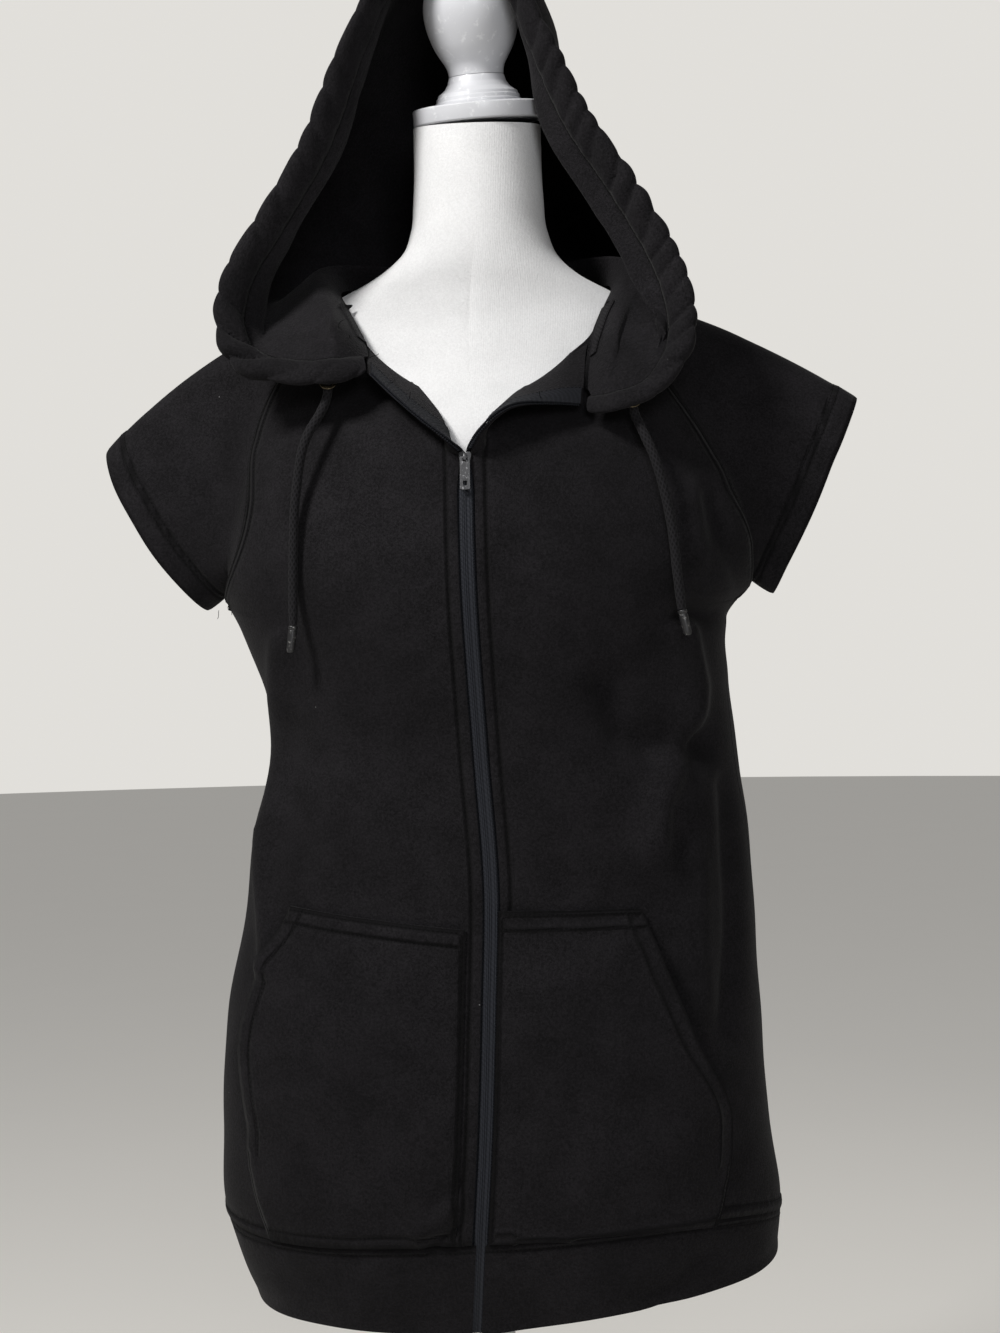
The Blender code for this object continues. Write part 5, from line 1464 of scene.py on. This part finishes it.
class Maker(bpy.types.Operator):
    """Shared ground of the operators that build the pieces."""

    bl_options = {"REGISTER", "UNDO"}

    def execute(self, context):
        self.build(context)
        return {"FINISHED"}


CAMERA_FAR = 1.425        # metres from the axis
CAMERA_LEVEL = 0.95       # metres above the floor
CAMERA_TURN = 3           # degrees from straight in front
CAMERA_ROLL = -1.06       # degrees
CAMERA_SHIFT = 0.00975
LENS, SENSOR_HIGH, SENSOR_WIDE = 50, 36, 27      # mm


class GARMENT_OT_camera(Maker):
    """Sets the camera level with the chest, almost straight in front"""

    bl_idname = "garment.camera"
    bl_label = "Camera"

    def build(self, context):
        data = bpy.data.cameras.new("camera")
        data.lens, data.sensor_fit = LENS, "VERTICAL"
        data.sensor_height, data.sensor_width = SENSOR_HIGH, SENSOR_WIDE
        data.shift_x = CAMERA_SHIFT
        data.dof.use_dof = False
        data.clip_end = 60
        camera = bpy.data.objects.new("camera", data)
        context.scene.collection.objects.link(camera)
        turn = math.radians(CAMERA_TURN)
        place = Vector((CAMERA_FAR * math.sin(turn), -CAMERA_FAR * math.cos(turn), CAMERA_LEVEL))
        look = (Vector((0, 0, CAMERA_LEVEL)) - place).to_track_quat("-Z", "Y").to_matrix()
        roll = Matrix.Rotation(math.radians(CAMERA_ROLL), 3, "Z")
        camera.matrix_world = Matrix.Translation(place) @ (look @ roll).to_4x4()
        context.scene.camera = camera


def cord_route(side):
    """The drawcord's places from its eyelet down to its tip."""
    route = CORD[side]
    fine = np.linspace(1, 2.5, 151)
    off = point_along(EDGE[side], "v", fine)[:, 0::2] - point_along(route, "at", 0)[0::2]
    spot = fine[np.argmin(np.linalg.norm(off, axis=-1))]
    start, _, across, axis = (item[0] for item in casing_frame(side, spot))
    start = start - across * 3
    knots = np.concatenate([[0, 0.4], np.linspace(0.8, route["at"][-1], 14)])
    places = point_along(route, "at", knots)
    places[0], places[1] = start + axis * 0.2, start + axis * 8.6
    run = run_of(places)
    rows = {"run": run, **{axis_name: places[:, k] for k, axis_name in enumerate("xyz")}}
    return point_along(rows, "run", np.linspace(0, run[-1], 34))


class GARMENT_OT_drawcords(Maker):
    """Builds the two braided drawcords with their metal tips"""

    bl_idname = "garment.drawcords"
    bl_label = "Drawcords"

    def build(self, context):
        for side, label in SIDES:
            path = cord_route(side)
            tip = AGLET[side]
            long = float(np.linalg.norm(tip))
            wall = ((0.8, 0.5), (0.5, 1.4), (0.5, 2.4), (1.0, 3.0), (1.0, 3.8), (0.7, 4.4),
                    (1.0, long - 2.2), (1.6, long - 0.3), (2.0, long))
            profile = rounded([(0, 0.5), *((AGLET_R - thinner, h) for thinner, h in wall), (0, long)], 0.35,
                              2)
            turn = Vector(tip).to_track_quat("Z", "Y").to_matrix().to_4x4()
            place = Matrix.Translation(Vector(path[-1])) @ turn
            aglet = turned("aglet_%s_tip" % label, profile, aglet_look(), segments=40, matrix=place)
            ride(aglet, "aglet_metal", "aglet_" + label)
            radius = CORD_R * (1 + 0.03 * np.sin(np.arange(len(path)) * 1.7))
            radius[-2:] *= (0.96, 0.9)
            cord = tube("drawcord_%s_braid" % label, path, radius, braid_look(), 20)
            ride(cord, "cord_braid", "drawcord_" + label)


class GARMENT_OT_form(Maker):
    """Builds the limbless dress form with its turned cap, pole and base"""

    bl_idname = "garment.form"
    bl_label = "Dress form"

    def build(self, context):
        turn = np.arange(0, 360, 360 / 112)
        levels = np.concatenate([[-440, -439, -436, -431], np.linspace(-425, 140, 70),
                                 np.linspace(145, 345, 60), np.linspace(352, NECK_TOP, 10)])
        rings = []
        for z in levels:
            row = {key: along(FORM, "z", key, z) for key in FORM}
            x, y = section(turn, row["half"], row["front"], row["back"], row["round_front"],
                           row["round_back"])
            height = z + y * math.tan(NECK_TILT) * max(z - NECK_BENDS, 0) / (NECK_TOP - NECK_BENDS)
            rings.append(np.stack([x + along(LEAN_FORM, "z", "x", z), y, height], -1))
        bm = bmesh.new()
        lay(bm, np.array(rings), True)
        bmesh.ops.remove_doubles(bm, verts=bm.verts[:], dist=1e-3)
        bmesh.ops.holes_fill(bm, edges=[edge for edge in bm.edges if edge.is_boundary], sides=0)
        torso = finish("form_torso_jersey", bm, [form_cloth_look()], 50)
        far = torso.data.attributes.new("stitch", "FLOAT", "POINT")
        far.data.foreach_set("value", np.full(len(torso.data.vertices), NO_STITCH, np.float32))
        ride(torso, "form_cloth", "form_torso")
        lean, at = math.radians(-3), (2.5, 0, NECK_TOP)
        up = 2.6      # the cap stands this far over the neck's end
        cap = [(0.0, 2.9)] + [(r, z + up) for z, r in zip(CAP["z"], CAP["r"])] + [(0.0, CAP["z"][-1] + up)]
        cap = turned("form_neck_cap_turned", rounded(cap, 0.35, 2), form_cap_look(), lean, at=at,
                     tilt=NECK_TILT)
        ride(cap, "form_cap", "form_neck_cap")
        tall = np.linspace(FINIAL["z"][0], FINIAL["z"][-1], 56)
        ball = [(0.0, tall[0] + up), *zip(along(FINIAL, "z", "r", tall), tall + up)]
        ball += [(6.0, 121.6), (3.0, 122.1), (0.0, 122.2)]
        ball = turned("form_finial_turned", ball, form_cap_look(), lean, at=at, tilt=NECK_TILT)
        ride(ball, "form_cap", "form_finial")
        end = WAIST - 440.3
        pole = [(0, 22.3), (POLE_R, 22.3), (POLE_R, 330), (POLE_R + 0.01, 331), (POLE_R, 332), (POLE_R, end),
                (0, end)]
        pole = [(r, h - WAIST) for r, h in rounded(pole, 0.5)]
        ride(turned("form_pole_tube", pole, stand_look(), segments=64), "form_stand", "form_pole")
        base = [(0, 0), (BASE_R - 3, 0), (BASE_R, 3), (BASE_R, 8), (BASE_R - 6, 12), (40, 22), (0, 22)]
        base = [(r, h - WAIST) for r, h in rounded(base, 1.6, 4)]
        ride(turned("form_base_plate", base, stand_look(), segments=128), "form_stand", "form_base")


class GARMENT_OT_body(Maker):
    """Builds the two fronts, the back and the raglan cap sleeves"""

    bl_idname = "garment.body"
    bl_label = "Body and sleeves"

    def build(self, context):
        for _, label in SIDES:
            cloth_piece("front_" + label)
            cloth_piece("sleeve_" + label)
        cloth_piece("back")


class GARMENT_OT_hood(Maker):
    """Builds the two halves of the hood and the tape inside its neckline"""

    bl_idname = "garment.hood"
    bl_label = "Hood"

    def build(self, context):
        made = pattern()
        for side, label in SIDES:
            cloth_piece("hood_" + label)
            columns = (made["index"] >= (0.6 if side > 0 else 1.0)) & (made["index"] <= 7.2)
            grid, way = made["hoods"][side][:, columns], made["hood_facing"][side][:, columns]
            both = np.concatenate([grid, way], -1)
            strip = np.stack([inset(both, "bottom", d) for d in np.linspace(1.0, 14.0, 12)])
            out = unit(strip[..., 3:])
            panel = Panel(strip[..., :3] - out * 1.35, out, 0.95)
            ends = [(panel.inner[k], -out[k]) for k in (1, -2)]
            panel.lines = ends
            tape = cloth_wall("neck_tape_" + label, panel, [neck_tape_look(), neck_tape_look()])
            ride(tape, "zip_tape")
            ride(sew("stitches_neck_tape_" + label, ends), "fleece")


class GARMENT_OT_casings(Maker):
    """Builds the gathered drawcord casings along the hood's edge"""

    bl_idname = "garment.casings"
    bl_label = "Drawcord casings"

    def build(self, context):
        height = sizes().pucker / MM
        for side, label in SIDES:
            v = np.concatenate([np.linspace(0.26, 1, 30), np.linspace(1, 9, 360)[1:],
                                np.linspace(9, 10, 44)[1:]])
            centre, _, d, n = casing_frame(side, v)
            run = run_of(centre)
            turn = np.radians(np.arange(0, 360, 11.25) + 5.6)[None, :]
            c, s = np.cos(turn), np.sin(turn)
            run = run[:, None]
            swell = 0.95 + 0.05 * np.sin(run / 24 + 1) + 0.03 * np.sin(run / 9.7)
            swell = swell * (0.6 + 0.4 * smooth(10, 90, run))
            narrow = slim(side, v)[:, None]
            shift = CASING_HALF * (narrow - 1) * (1 if side > 0 else -1)
            wander = run + 4.6 * np.sin(run / 23) + 2.4 * np.sin(run / 9.3 + 2)
            wander = wander + 0.8 * np.sin(run / 4.9 + turn)
            strength = (0.8 + 0.2 * np.sin(run / 31 + side)) * (0.8 + 0.2 * np.sin(run / 17 + 2))
            if side > 0:
                gathered, fade = smooth(28, 70, run), 1.45 - 1.05 * smooth(0.1, 0.75, c)
            else:
                gathered = 0.5 + 0.8 * smooth(55, 90, run) * (1 - smooth(130, 200, run))
                fade = 1.7 - 0.7 * smooth(-0.4, 0.8, c)
            slant = 0.44 + 0.08 * np.sin(run / 37)
            rope = np.abs(np.sin(np.pi * (wander / (28.0 if side < 0 else 20.5) + slant * c))) ** 0.6 - 0.66
            strength = strength * (gathered * fade)
            ripple = 0.2 * np.sin(wander / 2.1 + 3 * c) * smooth(0.1, 0.9, c)
            ends = smooth(0, 8, run) * smooth(0, 6, run[-1] - run)
            pucker = (rope * strength * 2 * height + ripple) * ends
            thin = 1 - 0.30 * smooth(0.45, 0.98, c)
            across = CASING_HALF * narrow * np.sign(c) * np.abs(c) ** 0.85 + shift
            deep = CASING_DEEP * swell * s * thin
            grow = pucker * np.abs(s) ** 0.6 * np.sign(s)
            across_out = (across + pucker * c * np.where(c < 0, 0.75, 0.1))[..., None]
            outer = centre[:, None] + d[:, None] * across_out + n[:, None] * (deep + grow)[..., None]
            in_across = (CASING_HALF * narrow - CASING_WALL) * np.sign(c) * np.abs(c) ** 0.85 + shift
            in_deep = (CASING_DEEP - CASING_WALL) * swell * s * thin + grow * 0.6
            inside = centre[:, None] + d[:, None] * in_across[..., None] + n[:, None] * in_deep[..., None]
            for face in (outer, inside):
                face[-1, :, 0] = EDGE[side]["x"][-1] + side * SEAM / 2
            way = outer - inside
            panel = Panel(inside, unit(way), np.linalg.norm(way, axis=-1), closed=True)
            spot = int(np.argmin(np.abs(np.degrees(turn[0]) - 320)))
            line, ways = outer[:, spot], unit(way[:, spot])
            panel.lines = [(line[6:-4], ways[6:-4])]
            obj = cloth_wall("casing_%s_cloth" % label, panel, [fleece_face(), fleece_inside()])
            ride(obj, "fleece", "casing_" + label)
            ride(sew("stitches_casing_" + label, panel.lines, wide=0.42), "fleece")
            for slot in bpy.data.objects["eyelet_" + label].material_slots:
                slot.material = brass_look()


class GARMENT_OT_pockets(Maker):
    """Builds the two halves of the front pocket"""

    bl_idname = "garment.pockets"
    bl_label = "Pockets"

    def build(self, context):
        for _, label in SIDES:
            cloth_piece("pocket_" + label)


class GARMENT_OT_band(Maker):
    """Builds the self-fabric band at the bottom"""

    bl_idname = "garment.band"
    bl_label = "Bottom band"

    def build(self, context):
        cloth_piece("hem_band")


class GARMENT_OT_zip(Maker):
    """Builds the zip's tapes, its closed chain and its open teeth"""

    bl_idname = "garment.zip"
    bl_label = "Zip"

    def build(self, context):
        made = pattern()
        band, facing_band, fronts, facing = made["band"], made["facing_band"], made["fronts"], made["facing"]
        count = len(FACING_COLUMNS)
        reach = np.array(FACING_COLUMNS)
        for side, label in SIDES:
            column = 0 if side > 0 else -1
            strips, ways = [], []
            for i in range(BAND_ROWS):
                z = band[i, column, 2]
                strips.append(body(*locate(zip_x(z) + side * (ZIP_HALF + reach), z + 0 * reach)))
                ways.append(np.repeat([facing_band[i, column]], count, 0))
            strips = np.concatenate([np.array(strips), fronts[side][:, :count]])
            ways = np.concatenate([np.array(ways), facing[side][:, :count]])
            past = strips[:, :1] + unit(strips[:, :1] - strips[:, 1:2]) * (ZIP_HALF - 0.2)
            grid = np.concatenate([past, strips], 1)
            way = np.concatenate([ways[:, :1], ways], 1)
            grid = pulled_in(grid, ("top",), 2.2)
            panel = Panel(grid - way * (SEAM + TAPE_WALL), way, TAPE_WALL)
            line = (panel.inner[:, 7], -way[:, 7])
            panel.lines = [line]
            tape = cloth_wall("zip_tape_%s_woven" % label, panel, [tape_look(), tape_look()])
            ride(tape, "zip_tape", "zip_tape_" + label)
            ride(sew("stitches_zip_tape_" + label, [line]), "fleece")
            start = int((V < CLOSED_V).sum()) + BAND_ROWS
            edge, up = strips[start:, 0], unit(ways[start:, 0])
            out = unit(edge - strips[start:, 1])
            line = edge + out * 1.9 + up * 1.0
            teeth = sew("zip_coil_%s_open" % label, [(line[1:-1], up[1:-1])], long=3.4, wide=0.72,
                        pitch=sizes().coil_pitch / MM, across=True, look=coil_look())
            ride(teeth, "zip_coil", "zip_teeth_" + label)

        low = V <= CLOSED_V
        edges = [np.concatenate([band[:BAND_ROWS, 0 if side > 0 else -1], fronts[side][low, 0]])
                 for side in (-1, 1)]
        f = np.linspace(0, 1, 37)
        part = 0.57
        across = unit(edges[1] - edges[0])
        a, b = edges[0] - across * 1.7, edges[1] + across * 1.7
        grid = a[:, None] * (1 - f[None, :, None]) + b[:, None] * f[None, :, None]
        grid[-1] += unit(grid[-2] - grid[-1]) * 4
        rib = np.where(f < part, np.abs(np.sin(np.pi * f / part)),
                       np.abs(np.sin(np.pi * (f - part) / (1 - part))))
        lines = 0.3 * np.sin(f * 44)
        ahead = np.broadcast_to(np.array([0.0, -1.0, 0.0]), grid.shape)
        panel = Panel(grid, ahead, (0.9 + 1.15 * rib ** 0.6 + lines * rib)[None])
        ride(cloth_wall("zip_chain_closed", panel, [coil_look(), tape_look()]), "zip_coil", "zip_chain")
        side_line = [(grid[1:-1, k] + np.array([0, -1.55, 0]), ahead[1:-1, k]) for k in (2, 34)]
        ride(sew("zip_chain_binding", side_line, long=1.5, wide=0.34, pitch=1.9, look=coil_look()),
             "zip_coil")


def slider_frame():
    centre = body(*locate(zip_x(SLIDER_LEVEL - 6), SLIDER_LEVEL - 6))
    below = body(*locate(zip_x(SLIDER_LEVEL - 26), SLIDER_LEVEL - 26))
    rise = unit(np.array([0, centre[1] - below[1], centre[2] - below[2]]))
    outward = np.array([0, -rise[2], rise[1]])
    base = centre + outward * 3.0
    return Matrix(((1, 0, 0, base[0]), (0, rise[1], outward[1], base[1]), (0, rise[2], outward[2], base[2]),
                   (0, 0, 0, 1)))


def plate(bm, outline, holes, low, high, bevel=0.25):
    """A flat plate with holes: its outlines are filled, extruded and bevelled."""
    edges = []
    for loop in [outline] + holes:
        verts = [bm.verts.new((x, w, low)) for x, w in loop]
        edges += [bm.edges.new((p, q)) for p, q in zip(verts, verts[1:] + verts[:1])]
    bmesh.ops.triangle_fill(bm, use_beauty=True, use_dissolve=False, edges=edges)
    own = [face for face in bm.faces if abs(face.verts[0].co.z - low) < 1e-6 and not face.tag]
    made = bmesh.ops.extrude_face_region(bm, geom=own, use_keep_orig=True)
    lifted = [item for item in made["geom"] if isinstance(item, bmesh.types.BMVert)]
    bmesh.ops.translate(bm, verts=lifted, vec=(0, 0, high - low))
    for face in bm.faces:
        face.tag = True
    rims = [edge for edge in bm.edges if len(edge.link_faces) == 2 and edge.calc_face_angle(0) > 1.2
            and edge.verts[0].co.z == edge.verts[1].co.z]
    if bevel:
        bmesh.ops.bevel(bm, geom=rims, offset=bevel, offset_type="OFFSET", affect="EDGES", segments=2,
                        profile=0.5, material=-1, clamp_overlap=True)


def oblong(x, w, half, long, corner, steps=4):
    """A rounded rectangle's outline about x and w."""
    out = []
    for sx, sw, start in ((1, 1, 0), (-1, 1, 90), (-1, -1, 180), (1, -1, 270)):
        for k in range(steps + 1):
            a = math.radians(start + 90 * k / steps)
            out.append((x + sx * (half - corner) + corner * math.cos(a),
                        w + sw * (long - corner) + corner * math.sin(a)))
    return out


class GARMENT_OT_slider(Maker):
    """Builds the zip's slider with its crown, and the pull tab that turns on it"""

    bl_idname = "garment.slider"
    bl_label = "Slider and tab"

    def build(self, context):
        place = slider_frame()
        bm = bmesh.new()
        half = [(2.9, -5.0), (3.3, -4.4), (3.5, -1.5), (4.4, 3.0), (4.4, 4.6), (3.6, 5.8), (1.6, 6.0)]
        outline = [(-2.9, -5.0), *half, (0, 5.2), *((-x, w) for x, w in half[:0:-1])]
        plate(bm, outline, [], 0.0, 1.5, 0.35)
        bmesh.ops.transform(bm, matrix=place, verts=bm.verts[:])
        crown = bmesh.new()
        arch = [(-1.2, 0.8), (-1.2, 3.4), (-0.6, 4.6), (0.8, 4.9), (3.4, 4.6), (4.5, 3.6), (4.6, 0.8),
                (3.4, 0.8), (3.4, 3.0), (2.9, 3.6), (0.6, 3.65), (0.05, 3.1), (0.0, 0.8)]
        plate(crown, arch, [], -1.05, 1.05, 0.3)
        turn = Matrix(((0, 0, 1, 0), (1, 0, 0, 0), (0, 1, 0, 0), (0, 0, 0, 1)))
        bmesh.ops.transform(crown, matrix=place @ turn, verts=crown.verts[:])
        slider = finish("zip_slider_body", bm, [slider_look()], 35)
        crown = finish("zip_slider_crown", crown, [slider_look()], 35)
        ride(slider, "slider_metal", "zip_slider")
        ride(crown, "slider_metal")
        bm = bmesh.new()
        window = oblong(0, 0.0, 1.6, 1.55, 0.5)
        outline = [(x * (0.96 if -12 < w <= -9 else 1), w) for x, w in oblong(0, -9.8, 3.55, 12.1, 1.5)]
        plate(bm, outline, [window, oblong(0, -17.3, 1.35, 1.75, 0.35)], 1.9, 3.3, 0.28)
        bmesh.ops.transform(bm, matrix=place, verts=bm.verts[:])
        tab = finish("pull_tab_plate", bm, [slider_look()], 35)
        ride(tab, "slider_metal", "pull_tab", body="tab")
        bm = bmesh.new()
        pin = Matrix.Translation((0, 1.7, 2.6)) @ Matrix.Rotation(math.pi / 2, 4, "Y")
        bmesh.ops.create_cone(bm, cap_ends=True, segments=16, radius1=0.7, radius2=0.7, depth=4.4, matrix=pin)
        bmesh.ops.transform(bm, matrix=place, verts=bm.verts[:])
        ride(finish("pull_tab_pin", bm, [slider_look()], 35), "slider_metal", body="tab")


class GARMENT_OT_stitches(Maker):
    """Sews the visible stitching along the seams, hems and pockets"""

    bl_idname = "garment.stitches"
    bl_label = "Stitching"

    def build(self, context):
        for name, panel in pattern()["panels"].items():
            if panel.lines:
                ride(sew("stitches_" + name, panel.lines), "fleece")


# Loose threads: where they start, which way they go and how long they are.
THREADS = (
    ((-97, -86, 243), (0.3, -0.4, 0.9), 15), ((-86, -80, 236), (-0.5, -0.3, 0.6), 12),
    ((-76, -76, 226), (0.4, -0.5, 0.7), 9),
    ((-64, -104, 204), (0.7, -0.4, 0.5), 10), ((-49, -116, 190), (0.6, -0.3, 0.7), 9),
    ((-203, -16, 46), (-0.4, -0.6, -0.5), 6),
    ((-196, -22, 48), (0.5, -0.7, -0.6), 7),
    ((52, -118, 188), (-0.6, -0.4, 0.6), 10),
)


class GARMENT_OT_threads(Maker):
    """Adds the few loose thread ends at the worn neckline and underarms"""

    bl_idname = "garment.threads"
    bl_label = "Loose threads"

    def build(self, context):
        t = np.linspace(0, 1, 10)[:, None]
        for number, (start, way, long) in enumerate(THREADS):
            way = unit(np.array(way, float))
            side = unit(np.cross(way, np.array([0.2, 1.0, 0.1])))
            curl = side * long * 0.25 * np.sin(3 * t + number)
            sag = np.array([0, 0, -0.25]) * long * t * t
            path = np.array(start, float) + way * long * t + curl + sag
            ride(tube("loose_thread_%02d" % (number + 1), path, 0.22, thread_look(), 6), "fleece")


FLOOR_RADIUS = 14      # metres
FLOOR_GLOW = 0.3       # the floor's own light, as of a bright room
ROOM_STRENGTH = 0.16   # what the room gives the cloth
SEEN_STRENGTH = 0.82   # the room as the camera sees it


def soft_lights(values):
    """Each light's name, place and aim in metres, size, power and colour."""
    key, fill = values.key_power, values.fill_power
    return (
        ("key_light", (-1.08, -1.12, 2.5), (0.0, 0.0, 1.15), 0.5, key * 1.12, (1.0, 0.99, 0.97)),
        ("fill_light", (1.9, -1.5, 1.2), (0.0, 0.0, 0.95), 1.4, fill * 0.3, (1.0, 0.94, 0.86)),
        ("front_light", (0.45, -2.4, 1.65), (0.0, 0.0, 1.1), 0.9, fill * 3.6, (0.97, 0.98, 1.0)),
        ("rim_light", (1.3, 1.6, 1.9), (0.0, 0.0, 1.0), 1.0, fill, (1.0, 0.96, 0.9)),
    )


class GARMENT_OT_stage(Maker):
    """Sets the plain pale floor and the soft studio lights"""

    bl_idname = "garment.stage"
    bl_label = "Stage"

    def build(self, context):
        values = sizes()
        bm = bmesh.new()
        bmesh.ops.create_circle(bm, cap_ends=True, segments=96, radius=FLOOR_RADIUS)
        mesh = bpy.data.meshes.new("floor")
        bm.to_mesh(mesh)
        bm.free()
        made, tree, shader, place, _ = base_material("floor_paint")
        cloud = noise(tree, place, 3.0, 3.0, 0.5)
        colour = tuple(values.floor_colour)
        tree.links.new(blend(tree, cloud, tuple(0.97 * c for c in colour), colour),
                       shader.inputs["Base Color"])
        shader.inputs["Roughness"].default_value = 0.85
        shader.inputs["Emission Color"].default_value = (*colour, 1)
        shader.inputs["Emission Strength"].default_value = FLOOR_GLOW
        mesh.materials.append(made)
        floor = bpy.data.objects.new("floor", mesh)
        context.collection.objects.link(floor)
        for name, place, aim, size, power, colour in soft_lights(values):
            light = bpy.data.lights.new(name, "AREA")
            light.shape, light.size, light.energy, light.color = "DISK", size, power, colour
            obj = bpy.data.objects.new(name, light)
            context.collection.objects.link(obj)
            obj.location = place
            obj.rotation_euler = (Vector(aim) - Vector(place)).to_track_quat("-Z", "Y").to_euler()
        world = bpy.data.worlds.new("pale_room")
        world.use_nodes = True
        sky = world.node_tree.nodes["Background"]
        sky.inputs["Color"].default_value = (0.92, 0.9, 0.88, 1)
        sky.inputs["Strength"].default_value = ROOM_STRENGTH
        tree = world.node_tree
        seen = node(tree, "ShaderNodeBackground", None, Color=(0.92, 0.9, 0.86, 1), Strength=SEEN_STRENGTH)
        path = tree.nodes.new("ShaderNodeLightPath")
        mixed = node(tree, "ShaderNodeMixShader", None, Fac=path.outputs["Is Camera Ray"], i1=sky.outputs[0],
                     i2=seen.outputs[0])
        tree.links.new(mixed.outputs[0], tree.nodes["World Output"].inputs["Surface"])
        context.scene.world = world
        context.scene.view_settings.view_transform = "Standard"


OPERATORS = (GARMENT_OT_camera, GARMENT_OT_drawcords, GARMENT_OT_form, GARMENT_OT_body, GARMENT_OT_hood,
             GARMENT_OT_casings, GARMENT_OT_pockets,
             GARMENT_OT_band, GARMENT_OT_zip, GARMENT_OT_slider, GARMENT_OT_stitches, GARMENT_OT_threads,
             GARMENT_OT_stage)


class GARMENT_PT_sidebar(bpy.types.Panel):
    """Lists the garment's pieces and its sizes and colours"""

    bl_idname = "GARMENT_PT_sidebar"
    bl_label = "Hooded fleece garment"
    bl_space_type = "VIEW_3D"
    bl_region_type = "UI"
    bl_category = "Garment"

    def draw(self, context):
        for maker in OPERATORS:
            self.layout.operator(maker.bl_idname)
        for name in GarmentSizes.__annotations__:
            self.layout.prop(context.scene.garment_sizes, name)


def register():
    for made in (GarmentSizes, *OPERATORS, GARMENT_PT_sidebar):
        bpy.utils.register_class(made)
    bpy.types.Scene.garment_sizes = bpy.props.PointerProperty(type=GarmentSizes)


def unregister():
    del bpy.types.Scene.garment_sizes
    for made in reversed((GarmentSizes, *OPERATORS, GARMENT_PT_sidebar)):
        bpy.utils.unregister_class(made)


def main():
    register()
    for maker in OPERATORS:
        space, name = maker.bl_idname.split(".")
        if "FINISHED" not in getattr(getattr(bpy.ops, space), name)():
            raise RuntimeError("%s did not finish" % maker.bl_label)
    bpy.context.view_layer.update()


if __name__ == "__main__":
    main()
